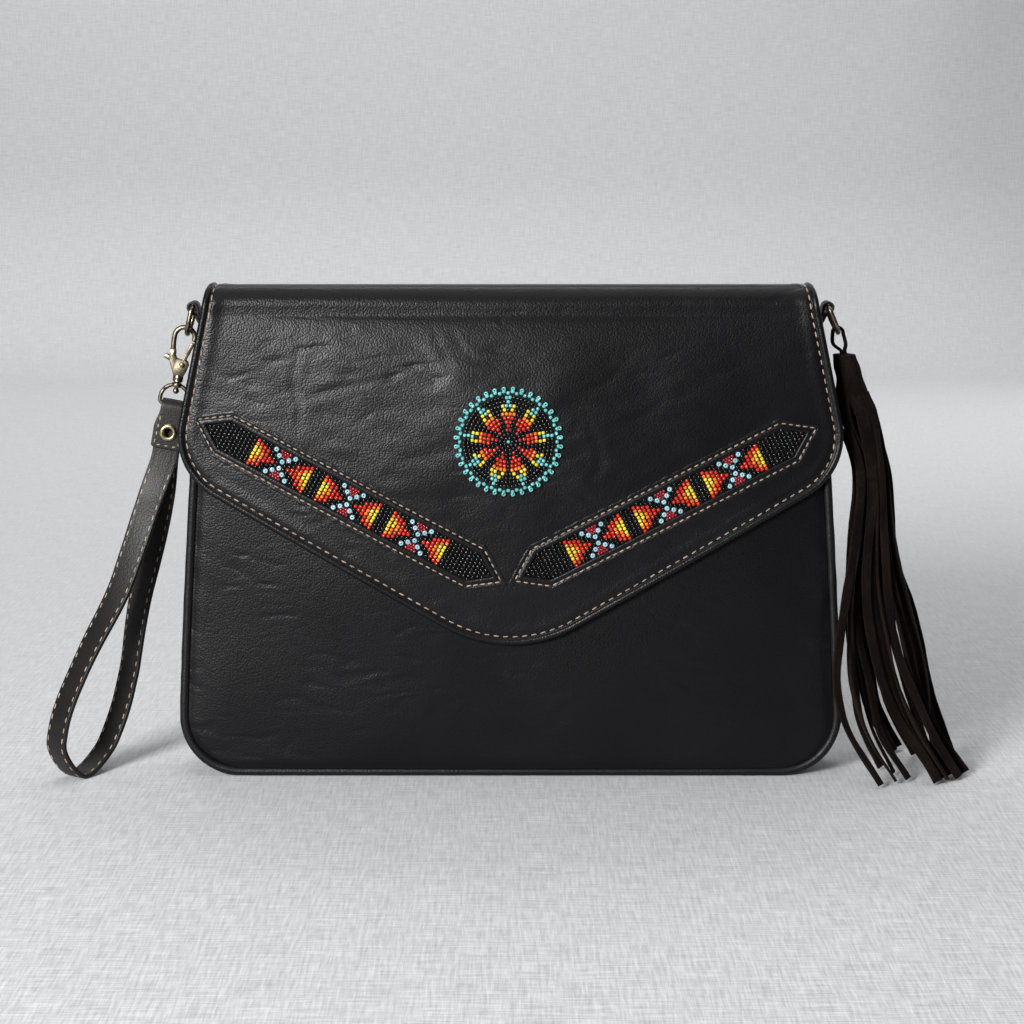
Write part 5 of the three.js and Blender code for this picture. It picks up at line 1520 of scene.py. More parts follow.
def snapPiece(name, node, body, profile, seatAt, material):
    def place(grid):
        x, z = flapShape["snapX"] + grid[..., 0], flapShape["snapZ"] + grid[..., 1]
        return np.stack([x, -(seatAt(x, z) + grid[..., 2]), z], -1)

    sewn = Sewn(name)
    turned(sewn, profile, 48, place)
    made = sewn.make([material], sharp=38)
    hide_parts(node)
    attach(made, body)


def makeSnap():
    r, c, b = snapLook["radius"], snapLook["clear"], snapLook["backing"]
    disc = [(0, 0), (r - 0.15, 0), (r, 0.12), (r, b - 0.12), (r - 0.15, b), (2.2, b), (1.8, b - 0.2), (0, b - 0.2)]
    snapPiece("snapSocketBacking", "snap_socket_backing", "bag", disc,
              lambda x, z: panelFaceAt(x, z) - bagShape["panel"] - c - b, springSteel)
    snapPiece("snapStudBacking", "snap_stud_backing", "flap", disc,
              lambda x, z: flapInnerAt(x, z) + flapShape["liningThick"] + c, springSteel)
    t, hole = snapLook["socket"], snapLook["stud"] + c
    socket = [(hole, 0.1), (hole + 0.1, 0), (r - 0.3, 0), (r, 0.3), (r, t - 0.4), (r - 0.4, t), (r - 1.5, t),
              (r - 1.9, t - 0.18), (r - 3.3, t - 0.18), (r - 3.6, t), (hole + 0.3, t), (hole, t - 0.3), (hole, 0.1)]
    snapPiece("snapSocket", "snap_socket", "bag", socket, lambda x, z: panelFaceAt(x, z) + c, antiqueBrass)
    p, s, reach = snapLook["plate"], snapLook["stud"], snapLook["reach"]
    stud = [(0, -reach), (s - 0.4, -reach), (s, -reach + 0.35), (s, -0.15), (s + 0.2, 0), (r - 2.2, 0), (r - 1.9, 0.15),
            (r - 1.4, 0.15), (r - 1.2, 0), (r - 0.3, 0), (r, 0.25), (r, p - 0.15), (r - 0.15, p), (0, p)]
    snapPiece("snapStud", "snap_stud", "flap", stud,
              lambda x, z: flapInnerAt(x, z) - c - p, antiqueBrass)


makeSnap()

# Ring tabs and D-rings

ringLook = {
    "layers": 2.6,
    "tabWidth": 10.8,
    "tail": 23.0,
    "outboard": 4.0,
    "wire": 1.2,
    "half": 7.2,
    "leg": 6.4,
    "barRise": 3.5,
    "leftLean": 14.0,
    "rightLean": 23.0,
    "clear": 0.3,
}
barHeight = mouth + ringLook["barRise"]
barX = float(halfWidthAt(barHeight)) + ringLook["outboard"]
ringDrop = ringLook["leg"] + ringLook["half"]


def makeTab(name, side, node):
    top = mouth - bagShape["gussetDrop"]
    legX = lambda z: float(halfWidthAt(z)) - bagShape["gusset"] - ringLook["clear"] - ringLook["layers"] / 2
    overZ = top + ringLook["clear"] + ringLook["layers"] / 2
    middle = curveThrough(
        [
            (legX(top - ringLook["tail"]), 0, top - ringLook["tail"]),
            (legX(top - 10), 0, top - 10),
            (legX(top - 2), 0, top - 2),
            (legX(top) + 0.6, 0, overZ),
            (float(halfWidthAt(top)), 0, overZ + 2.6),
            (barX - 1.5, 0, barHeight - 1),
        ],
        60,
    )[:, [0, 2]]
    along = tangents(middle)
    off = np.stack([along[:, 1], -along[:, 0]], 1)
    ply = ringLook["layers"] / 2
    loopR = ringLook["wire"] + ringLook["clear"] + ply / 2 + 0.1
    bar = np.array([barX, barHeight])
    far = np.linalg.norm(middle - bar, axis=1) > loopR + 1.6
    under = (middle + off * ply / 2)[far]
    over = (middle - off * ply / 2)[far]
    heading = math.degrees(math.atan2(*(bar - middle[far][-1])[::-1]))
    loop = arc(bar, loopR, heading - 125, heading + 125, 30)
    path2 = np.vstack([under, loop, over[::-1]])
    path2 = evenly(curveThrough([(p[0], 0, p[1]) for p in path2[::2]], 200)[:, [0, 2]], 150)
    path = np.stack([side * path2[:, 0], 0 * path2[:, 0], path2[:, 1]], 1)
    along = tangents(path)
    wide = np.tile([0.0, 1.0, 0.0], (len(path), 1))
    deep = unit(np.cross(along, wide))
    section = roundedBar(ringLook["tabWidth"], ply - 0.04, 0.45, 0.03)
    grid = sweep(path, wide, deep, section)
    sewn = Sewn(name)
    sewn.patch(grid, ring=True)
    sewn.cap(grid[0])
    sewn.cap(grid[-1])
    sign = 1 if (deep[20] @ np.array([side, 0, 0])) > 0 else -1
    for edge in (-1, 1):
        y = edge * (ringLook["tabWidth"] / 2 - 1.5)
        for part in (slice(22, 62), slice(88, 128)):
            line = path[part] + wide[part] * y + deep[part] * sign * (ply / 2 - 0.02) * (1 if part.start < 60 else 1)
            stitch(sewn, line, deep[part] * sign, 2.0, 3.4, 0.55, 0.42, 60 + edge, slot=1)
    made = sewn.make([strapLeather, blackThread])
    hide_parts(node)
    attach(made, "bag")


def turnY(degrees):  # columns are where local X, Y and Z point after a turn about Y
    a = math.radians(degrees)
    return np.array([[math.cos(a), 0, math.sin(a)], [0, 1, 0], [-math.sin(a), 0, math.cos(a)]])


def makeRing(name, side, lean, node, body):
    corner_ = 2.2
    bow = arc((0, -ringLook["leg"]), ringLook["half"], 0, -180, 48)
    flat = np.vstack(
        [
            roundedLine(
                [bow[-1], (-ringLook["half"], 0), (ringLook["half"], 0), bow[0]], [0, corner_, corner_, 0], 8
            )[1:-1],
            bow,
        ]
    )
    flat = np.vstack([flat, flat[:1]])
    flat = evenly(flat, 120)[:-1]
    local = np.stack([0 * flat[:, 0], flat[:, 0], flat[:, 1]], 1)
    matrix = turnY(-side * lean)
    path = local @ matrix.T + np.array([side * barX, 0, barHeight])
    sewn = Sewn(name)
    wire(sewn, path, matrix[:, 0], ringLook["wire"], 18, looped=True)
    made = sewn.make([antiqueBrass])
    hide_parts(node)
    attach(made, body)
    return np.array([side * barX, 0, barHeight]) + matrix @ np.array([0, 0, -ringDrop])


makeTab("leftRingTab", -1, "left_ring_tab")
makeTab("rightRingTab", 1, "right_ring_tab")
leftFoot = makeRing("leftRing", -1, ringLook["leftLean"], "left_d_ring", "left_ring")
rightFoot = makeRing("rightRing", 1, ringLook["rightLean"], "right_d_ring", "right_ring")
print("rings hung")

# Trigger clasp and swivel, in the clasp's own frame: P across it, Y through it, Q down its length

claspLook = {
    "lean": 10.5,
    "hookRadius": 4.9,
    "seatTurn": 30.0,
    "wire": 1.25,
    "plateTop": 8.5,
    "plateBottom": 21.6,
    "cheek": 1.95,
    "slot": 1.2,
    "gate": 1.0,
    "pivot": (1.1, -15.6),
    "pin": 0.8,
    "collar": 2.55,
    "collarLength": 2.8,
    "stem": 1.0,
    "ball": 1.55,
    "hub": 2.5,
    "hubLength": 2.3,
    "eyeWire": 1.0,
    "eyeRadius": 7.1,
    "eyeLeg": 2.9,
    "clear": 0.3,
}
hookRoom = claspLook["hookRadius"] - claspLook["wire"] - ringLook["wire"] - claspLook["clear"]
claspTurn = turnY(claspLook["lean"])
seatAngle = math.radians(claspLook["seatTurn"])
claspOrigin = leftFoot + claspTurn @ np.array(
    [-hookRoom * math.sin(seatAngle), 0, hookRoom * (1 - math.cos(seatAngle))]
)
collarBottom = claspLook["plateBottom"] + claspLook["collarLength"]
hubTop = collarBottom + claspLook["clear"]
ballTop = hubTop + claspLook["hubLength"] + claspLook["clear"]
eyeCentre = hubTop + claspLook["hubLength"] / 2 + claspLook["eyeRadius"]
eyeBar = eyeCentre + claspLook["eyeLeg"]
hookCentre = np.array([0, -hookRoom])


def inClasp(local):  # from the clasp's frame to the bag's
    return np.asarray(local, float) @ claspTurn.T + claspOrigin


def plateSolid(sewn, outline, fromY, toY, bevel, slot=0):  # a flat plate with softened edges
    outline = np.array(outline, float)
    line = np.vstack([outline, outline[:1]])
    ring = evenly(line, max(int(lengthsAlong(line)[-1] / 0.35), 12))[:-1]
    middle = ring.mean(0)
    ahead, behind = np.roll(ring, -1, 0), np.roll(ring, 1, 0)
    out = unit(np.stack([(ahead - behind)[:, 1], -(ahead - behind)[:, 0]], 1))
    if ((ring - middle) * out).sum() < 0:
        out = -out
    layers = []
    for shrink, y in ((bevel, fromY), (bevel * 0.3, fromY + bevel * 0.3), (0, fromY + bevel),
                      (0, toY - bevel), (bevel * 0.3, toY - bevel * 0.3), (bevel, toY)):
        place = ring - out * shrink
        layers.append(np.stack([place[:, 0], np.full(len(place), y), place[:, 1]], 1))
    grid = inClasp(np.array(layers))
    sewn.patch(grid, ring=True, slot=slot)
    sewn.cap(grid[0], slot)
    sewn.cap(grid[-1], slot)


def lineIn(points):
    points = np.asarray(points, float)
    return inClasp(np.stack([points[:, 0], 0 * points[:, 0], points[:, 1]], 1))


def onAxis(grid):  # a turned form on the clasp's long axis, its heights along -Q
    return inClasp(np.stack([grid[..., 0], grid[..., 1], grid[..., 2]], -1))


def acrossAt(p, q):  # a turned form on a pin that runs through the clasp
    def place(grid):
        return inClasp(np.stack([p + grid[..., 0], grid[..., 2], q + grid[..., 1]], -1))

    return place


def finishMetal(sewn, node, body, material=None, sharp=44):
    made = sewn.make([material or antiqueBrass], sharp=sharp)
    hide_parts(node)
    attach(made, body)
    return made


def makeHook():
    c = claspLook
    r = c["hookRadius"]
    tip = -8
    bow = arc(hookCentre, r, tip, 180, 60)
    spine = curveThrough(
        [(-r, 0, hookCentre[1]), (-r, 0, hookCentre[1] - 3), (-r + 0.4, 0, -c["plateTop"]), (-r + 1, 0, -c["plateTop"] - 2)],
        14,
    )[1:, [0, 2]]
    sewn = Sewn("hookBody")
    wire(sewn, lineIn(np.vstack([bow, spine])), (0, 1, 0), c["wire"], 18)
    tipPlace = lineIn(bow[:1])[0]
    turned(sewn, [(0, -0.95), (0.7, -0.8), (1.12, -0.35), (1.25, 0)], 18,
           lambda g: tipPlace + (g[..., 0:1] * claspTurn[:, 0] + g[..., 1:2] * claspTurn[:, 1] - g[..., 2:3] * -claspTurn[:, 2]))
    px, pz = c["pivot"]
    outline = [
        (-r - 1.0, -c["plateTop"]), (-r + 1.4, -c["plateTop"]), (-r + 1.9, -c["plateTop"] - 3), (-r + 2.9, pz + 2.6),
        (px - 0.4, pz + 2.2), (px + 1.4, pz + 2.5), (px + 2.6, pz + 1.5), (px + 3, pz), (px + 2.2, pz - 3.2), (c["collar"] - 0.3, -c["plateBottom"]),
        (-c["collar"] + 0.3, -c["plateBottom"]), (-c["collar"] - 1.3, pz - 2.6), (-r - 0.6, pz + 1.2),
    ]
    for fromY, toY in ((-c["cheek"], -c["slot"]), (c["slot"], c["cheek"])):
        plateSolid(sewn, outline, fromY, toY, 0.3)
    web = [(-r - 1.1, -c["plateTop"]), (-r + 1.7, -c["plateTop"]), (-r + 2.2, -c["plateTop"] - 2.4),
           (-r - 0.9, -c["plateTop"] - 2.6)]
    plateSolid(sewn, web, -c["slot"] - 0.2, c["slot"] + 0.2, 0.1)
    foot = [(px + 1.9, pz - 3.4), (c["collar"] - 0.3, -c["plateBottom"]), (-c["collar"] + 0.3, -c["plateBottom"]),
            (-c["collar"] - 1.0, pz - 3.4)]
    plateSolid(sewn, foot, -c["slot"] - 0.2, c["slot"] + 0.2, 0.1)
    ballMiddle = -(ballTop + c["ball"])
    ball = [(c["ball"] * math.cos(a), ballMiddle + c["ball"] * math.sin(a)) for a in np.radians(np.linspace(-90, 50, 12))]
    ball[0] = (0, ball[0][1])
    k = c["collar"]
    profile = ball + [
        (c["stem"], -ballTop - 0.1), (c["stem"], -collarBottom), (k - 0.5, -collarBottom), (k, -collarBottom + 0.5),
        (k - 0.12, -collarBottom + 1.1), (k, -collarBottom + 1.7), (k, -c["plateBottom"] + 0.1),
        (k - 0.4, -c["plateBottom"] + 0.8), (0, -c["plateBottom"] + 1),
    ]
    turned(sewn, profile, 32, onAxis)
    finishMetal(sewn, "hook_body", "hook")

    sewn = Sewn("gatePin")
    head = c["cheek"] + c["clear"]
    profile = [(0, -head - 0.5), (0.8, -head - 0.42), (1.25, -head - 0.15), (1.4, -head), (c["pin"], -head),
               (c["pin"], head), (1.4, head), (1.25, head + 0.15), (0.8, head + 0.42), (0, head + 0.5)]
    turned(sewn, profile, 28, acrossAt(px, pz))
    finishMetal(sewn, "gate_pin", "hook")

    sewn = Sewn("gateSpring")
    low, high = -c["slot"] + c["clear"] + c["gate"] + c["clear"], c["slot"] - c["clear"]
    turn = np.linspace(0, 2 * math.pi * 1.9, 80)
    coilR = c["pin"] + c["clear"] + 0.35
    coil = np.stack(
        [px + coilR * np.cos(turn), low + 0.14 + (high - low - 0.28) * turn / turn[-1], pz + coilR * np.sin(turn)], 1
    )
    wire(sewn, inClasp(coil), claspTurn[:, 1], 0.14, 10)
    finishMetal(sewn, "gate_spring", "hook", springSteel, 60)


def makeGate():
    c = claspLook
    pivot = np.array(c["pivot"])
    tip = arc(hookCentre, c["hookRadius"], -26, -26, 1)[0]
    lever = np.array([-8.4, pivot[1] + 3.3])
    lowY, highY = -c["slot"] + c["clear"], -c["slot"] + c["clear"] + c["gate"]
    sewn = Sewn("hookGate")

    def bar(start, end, half, fromY, toY, bevel, endRound=0.5):
        along = unit(end - start)
        aside = np.array([-along[1], along[0]]) * half
        cornerLine = roundedLine(
            [start - aside, end - aside, end + aside, start + aside], [0, half * endRound * 1.6, half * endRound * 1.6, 0], 6
        )
        plateSolid(sewn, cornerLine, fromY, toY, bevel)

    boss = arc(pivot, 1.9, 0, 360, 30)[:-1]
    plateSolid(sewn, boss, lowY, highY, 0.15)
    bar(pivot, tip, 0.85, lowY, highY, 0.15)
    bar(pivot * 0.55 + tip * 0.45, tip, 1.0, -1.1, 1.1, 0.3)
    bar(pivot, lever, 0.9, lowY, highY, 0.15)
    neck = pivot * 0.42 + lever * 0.58
    bar(neck, lever, 1.25, -1.45, 1.45, 0.45, 0.6)
    finishMetal(sewn, "hook_gate", "gate")


def makeEye():
    c = claspLook
    r = c["eyeRadius"]
    bow = arc((0, -eyeCentre), r, 0, 180, 50)
    foot = roundedLine([bow[-1], (-r, -eyeBar), (r, -eyeBar), bow[0]], [0, 1.8, 1.8, 0], 8)
    line = np.vstack([bow, foot[1:-1], bow[:1]])
    line = evenly(line, 130)[:-1]
    sewn = Sewn("swivelEye")
    wire(sewn, lineIn(line), (0, 1, 0), c["eyeWire"], 18, looped=True)
    k, top, low = c["hub"], -hubTop, -hubTop - c["hubLength"]
    bore = c["stem"] + c["clear"]
    profile = [(bore, low), (k - 0.5, low), (k - 0.1, low + 0.4), (k + 0.1, (low + top) / 2), (k - 0.1, top - 0.4),
               (k - 0.5, top), (bore, top), (bore, low)]
    turned(sewn, profile, 32, onAxis)
    finishMetal(sewn, "swivel_eye", "swivel")


makeHook()
makeGate()
makeEye()
print("clasp cast")

# Strap tab, wrist strap and eyelet

strapLook = {
    "width": 13.0,
    "thick": 2.2,
    "twist": 38.0,
    "tabWidth": 15.0,
    "tabNeck": 11.2,
    "tabThick": 1.4,
    "tabLength": 24.4,
    "eyeletDrop": 16.2,
    "eyeletHole": 2.1,
    "eyeletFlange": 4.5,
    "clear": 0.3,
    "front": [
        (-6.6, -5, -21), (-12.1, -10, -37.6), (-20, -15.5, -61.5), (-24.6, -18, -72.5), (-35.3, -22.5, -93.2),
        (-41.4, -25.5, -106), (-47.6, -28, -120.8), (-51.4, -29.5, -134.3), (-52.2, -29, -144.5),
    ],
    "floor": (-44.5, -21),
    "back": [
        (-34.2, -5, -150.5), (-29.8, -1, -141.6), (-25.5, 2, -128.2), (-21.8, 3.5, -113), (-19.4, 4, -99.2),
        (-15.8, 4.5, -77.1), (-10.5, 4.5, -56.6), (-6.5, 4, -39.8), (-3, 3, -22.5),
    ],
    "fall": 160.1,
}
tabRoom = (2 * strapLook["thick"] + 3 * strapLook["clear"]) / 2
tabMiddle = tabRoom + strapLook["tabThick"] / 2
foldCentre = eyeBar - claspLook["eyeWire"] - strapLook["clear"] + tabRoom
tabTop = foldCentre - tabRoom - strapLook["tabThick"]
tabBottom = tabTop + strapLook["tabLength"]
eyeletDepth = tabTop + strapLook["eyeletDrop"]
punchRadius = strapLook["eyeletHole"] + 0.5


def punch(made, reach):  # a clean hole where the eyelet goes through
    sewn = Sewn("punch")
    profile = [(0, -reach), (punchRadius, -reach), (punchRadius, reach), (0, reach)]
    turned(sewn, profile, 32, lambda g: inClasp(np.stack([g[..., 0], g[..., 2], g[..., 1] - eyeletDepth], -1)))
    tool = sewn.make([paintedEdge])
    cut = made.modifiers.new("eyeletHole", "BOOLEAN")
    cut.operation, cut.solver, cut.object = "DIFFERENCE", "EXACT", tool
    bpy.context.view_layer.update()
    result = bpy.data.meshes.new_from_object(made.evaluated_get(bpy.context.evaluated_depsgraph_get()))
    made.modifiers.remove(cut)
    made.data = result
    bpy.data.objects.remove(tool)


def makeStrapTab():
    neckEnd = foldCentre + 1.5
    front = [(-tabMiddle, -q) for q in np.linspace(tabBottom, neckEnd, 44)]
    fold = arc((0, -foldCentre), tabMiddle, 180, 0, 26)
    back = [(-p, q) for p, q in front[::-1]]
    line = np.vstack([front, fold, back])
    path = inClasp(np.stack([0 * line[:, 0], line[:, 0], line[:, 1]], 1))
    below = -line[:, 1] - neckEnd
    width = strapLook["tabNeck"] + (strapLook["tabWidth"] - strapLook["tabNeck"]) * smoothStep(-1, 9, below)
    radius = 1.4
    left = np.clip(radius - (tabBottom + line[:, 1]), 0, radius)
    width = width - 2 * (radius - np.sqrt(np.maximum(radius**2 - left**2, 0)))
    wide = np.tile(claspTurn[:, 0], (len(path), 1))
    deep = unit(np.cross(tangents(path), wide))
    base = roundedBar(strapLook["tabWidth"], strapLook["tabThick"], 0.5, 0.06)
    profile = np.repeat(base[None], len(path), 0).copy()
    profile[..., 0] *= (width / strapLook["tabWidth"])[:, None]
    grid = sweep(path, wide, deep, profile)
    sewn = Sewn("strapTab")
    sewn.patch(grid, ring=True)
    sewn.cap(grid[0])
    sewn.cap(grid[-1])
    made = sewn.make([strapLeather])
    punch(made, 12)
    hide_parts("strap_tab")
    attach(made, "strap")
    sewn = Sewn("strapTabStitches")
    for face in (-1, 1):
        inset = 1.5
        half = strapLook["tabWidth"] / 2 - inset
        low = -(tabBottom - inset)
        high = -neckEnd - 2.5
        corner_ = roundedLine([(-half + 1.2, high), (-half, low), (half, low), (half - 1.2, high)], [0, 0.4, 0.4, 0])
        line = evenly(corner_, 120)
        y = face * (tabMiddle + strapLook["tabThick"] / 2 + 0.05)
        path = inClasp(np.stack([line[:, 0], np.full(len(line), y), line[:, 1]], 1))
        ups = np.tile(claspTurn[:, 1] * face, (len(path), 1))
        stitch(sewn, path, ups, 2.2, 3.6, 0.62, 0.5, 70 + face)
    made = sewn.make([strapThread], weld=False)
    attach(made, "strap")


def strapLine(count):
    seat = strapLook["thick"] / 2 + strapLook["clear"] / 2
    end = tabTop + strapLook["tabThick"] + 2 * tabRoom + 2.5
    spot = lambda y, q: inClasp((0, y, -q))
    exit_ = spot(0, tabBottom)
    reach = exit_[2] / strapLook["fall"]
    loop = lambda p: exit_ + np.array(p) * reach
    floor = loop((*strapLook["floor"], 0))
    floor[2] = strapLook["thick"] / 2 + 0.2
    controls = [spot(-seat, end), spot(-seat, eyeletDepth), spot(-seat, tabBottom - 2), spot(-seat - 0.5, tabBottom + 5)]
    controls += [loop(p) for p in strapLook["front"]] + [floor] + [loop(p) for p in strapLook["back"]]
    controls += [spot(seat + 0.4, tabBottom + 5), spot(seat, tabBottom - 2), spot(seat, eyeletDepth), spot(seat, end)]
    path = curveThrough(controls, count)
    down = np.clip((exit_[2] - path[:, 2]) / (exit_[2] * 0.65), 0, 1)
    turn = -np.radians(strapLook["twist"]) * down
    open_ = np.stack([np.cos(turn), np.sin(turn), 0 * turn], 1)
    share = np.minimum(down * 4, 1)[:, None]
    wide = claspTurn[:, 0][None] * (1 - share) + open_ * share
    along = tangents(path)
    wide = unit(wide - along * (wide * along).sum(1, keepdims=True))
    return path, wide, np.cross(along, wide)


def makeStrap():
    path, wide, deep = strapLine(420)
    section = roundedBar(strapLook["width"], strapLook["thick"], 0.7, 0.1, 5, 14)
    crease = np.exp(-((np.abs(section[:, 0]) - (strapLook["width"] / 2 - 2.6)) / 0.35) ** 2) * 0.12
    section[:, 1] -= np.sign(section[:, 1]) * crease
    run = lengthsAlong(path)
    wave = 0.12 * ripples(run, 0 * run, 26, 90)
    grid = sweep(path + deep * wave[:, None], wide, deep, section)
    sewn = Sewn("wristStrap")
    sewn.patch(grid, ring=True)
    sewn.cap(grid[0])
    sewn.cap(grid[-1])
    made = sewn.make([strapLeather])
    punch(made, 12)
    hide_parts("wrist_strap")
    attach(made, "strap")
    sewn = Sewn("wristStrapStitches")
    shown = slice(28, -28)
    for face in (-1, 1):
        for edge in (-1, 1):
            aside = edge * (strapLook["width"] / 2 - 1.5)
            line = path + wide * aside + deep * (face * (strapLook["thick"] / 2 + 0.03) + wave[:, None])
            stitch(sewn, line[shown], (deep * face)[shown], 3.2, 5.4, 0.66, 0.5, 80 + face + 2 * edge)
    made = sewn.make([strapThread], weld=False)
    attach(made, "strap")


def makeEyelet():
    s = strapLook
    half = tabRoom + s["tabThick"] + s["clear"]
    hole, flange, barrel, washer = s["eyeletHole"], s["eyeletFlange"], s["eyeletHole"] + 0.5, 0.6
    flare = half + washer + s["clear"]
    seat = acrossAt(0, -eyeletDepth)
    profile = [
        (hole, -half - 0.3), (hole + 0.25, -half - 0.75), (hole + 0.8, -half - 1.0), (hole + 1.4, -half - 1.0),
        (flange - 0.6, -half - 0.65), (flange - 0.1, -half - 0.25), (flange, -half), (barrel, -half), (barrel, flare),
        (barrel + 0.9, flare), (barrel + 0.8, flare + 0.4), (barrel + 0.3, flare + 0.6), (hole, flare + 0.3),
        (hole, -half - 0.3),
    ]
    sewn = Sewn("eyelet")
    turned(sewn, profile, 48, seat)
    finishMetal(sewn, "eyelet", "strap", eyeletBrass, sharp=60)
    # the strap's own leather closes the bore halfway through, so no daylight shows in it
    sewn = Sewn("eyeletCore")
    turned(sewn, [(0, -0.5), (hole - 0.05, -0.5), (hole - 0.05, 0.5), (0, 0.5)], 32, seat)
    made = sewn.make([strapLeather], sharp=40)
    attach(made, "strap")
    inner = barrel + s["clear"]
    profile = [(inner, half), (flange - 0.1, half), (flange, half + 0.15), (flange - 0.2, half + washer),
               (inner, half + washer), (inner, half)]
    sewn = Sewn("eyeletWasher")
    turned(sewn, profile, 48, seat)
    finishMetal(sewn, "eyelet_washer", "strap", eyeletBrass)


makeStrapTab()
makeStrap()
makeEyelet()
print("strap stitched")

# Tassel: a suede thong over the ring, and a rolled strip cut into strands

tasselLook = {
    "thongWidth": 4.0,
    "thongThick": 1.5,
    "lean": 13.0,
    "drop": 10.7,
    "headLength": 30.0,
    "headRadius": 5.9,
    "skirtRadius": 10.0,
    "flatten": 0.85,
    "strand": 4.6,
    "thick": 1.3,
    "hang": 0.3,
    "twist": 25.0,
    "gather": 0.55,
    "hipDrop": 57.3,
    # where each strand lies across and towards the back, from the foot of the ring: hip, knee, ankle and foot
    "strands": [
        ((12, -5), (0.5, -27), (3, -31), (21, -42), 20),
        ((17, -7), (14.5, -20), (30.5, -28), (48, -36), -5),
        ((22.5, -5), (28.5, -14), (43, -22), (60, -28), 15),
        ((26, 2), (41, 5), (50.5, 6), (54.5, 8), 55),
        ((21.5, -1), (34, -4), (47, -10), (64.5, -18), -25),
        ((15, -2), (12, -12), (20, -22), (35, -30), 35),
        ((10, 2), (8, -4), (13, -8), (25, -9), 10),
        ((20, 3), (24.5, 0), (36.5, -8), (55.5, -24), -15),
        ((25.5, 6), (38.5, 8), (47, 6), (59, 2), 40),
        ((17.5, 6), (22, 12), (31, 16), (46.5, 18), -30),
        ((12.5, 6), (13.5, 12), (21, 18), (36.5, 24), 5),
        ((22, 9), (31.5, 18), (43, 22), (55, 27), 25),
        ((16, 9), (19, 20), (26.5, 27), (40.5, 33), -10),
        ((26.5, 7), (42.5, 12), (53, 12), (64.5, 11), -40),
    ],
}
tilt = math.radians(tasselLook["lean"])
tasselAxis = np.array([math.sin(tilt), 0, -math.cos(tilt)])
headTop = rightFoot + np.array([3.1, 0, -tasselLook["drop"]])
hipHeight = headTop[2] - tasselLook["hipDrop"]
fanScale = hipHeight / 150


def makeThong():
    x, _, z = rightFoot
    t = tasselLook
    rise = ringLook["half"] - math.sqrt(ringLook["half"] ** 2 - t["thongWidth"] ** 2 / 4)
    bend = ringLook["wire"] + rise + 0.3 + t["thongThick"] / 2
    over = arc((x, z), bend, 0, 170, 22)
    seat = t["thongThick"] / 2 + 0.15
    square = np.array([math.cos(tilt), 0, math.sin(tilt)])
    inHead = lambda side, depth: headTop + tasselAxis * depth + square * side * seat
    leg = lambda side, dx, dz: [np.array([x + dx, 0, z + dz]), inHead(side, -2), inHead(side, 0), inHead(side, 7)]
    first = curveThrough([*leg(-1, -2.2, -5.5)[::-1], np.array([over[-1, 0], 0, over[-1, 1]])], 26)
    last = curveThrough([np.array([over[0, 0], 0, over[0, 1]]), *leg(1, 4, -6)], 26)
    middle = np.stack([over[::-1, 0], 0 * over[:, 0], over[::-1, 1]], 1)
    path = np.vstack([first[:-1], middle, last[1:]])
    wide = np.tile([0.0, 1.0, 0.0], (len(path), 1))
    deep = unit(np.cross(tangents(path), wide))
    grid = sweep(path, wide, deep, roundedBar(t["thongWidth"], t["thongThick"], 0.4, 0.05))
    sewn = Sewn("tasselThong")
    sewn.patch(grid, ring=True)
    sewn.cap(grid[0])
    sewn.cap(grid[-1])
    made = sewn.make([tasselSuede])
    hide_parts("tassel_thong")
    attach(made, "tassel")


def headRadiusAt(share):
    return tasselLook["headRadius"] + (tasselLook["skirtRadius"] - tasselLook["headRadius"]) * share**1.1


def strandPath(strand, count):
    t = tasselLook
    hip, knee, ankle, foot, _ = strand
    place = lambda p, height: np.array([rightFoot[0] + p[0] * fanScale, p[1] * fanScale, height])
    hipAt = place(hip, hipHeight)
    under = headTop + tasselAxis * (headTop[2] - hipAt[2]) / -tasselAxis[2]
    aim = unit((hipAt - under) * (1, 1, 0))
    depth = t["headLength"] * 0.62
    skirt = headRadiusAt(0.62) - t["thick"] * 0.2
    root = headTop + tasselAxis * depth + aim * skirt * (1, t["flatten"], 1)
    waist = headTop + tasselAxis * (t["headLength"] + 1) + aim * (headRadiusAt(1.0) - 0.2) * (1, t["flatten"], 1)
    kneeAt = place(knee, hipHeight / 2)
    thigh = hipAt + (kneeAt - hipAt) * t["hang"]
    thigh[2] = (hipAt[2] + kneeAt[2]) / 2
    facing = math.degrees(math.atan2(aim[1], aim[0])) + 90
    return curveThrough([root, waist, hipAt, thigh, kneeAt, place(ankle, hipHeight / 5), place(foot, 1.8)], count), facing


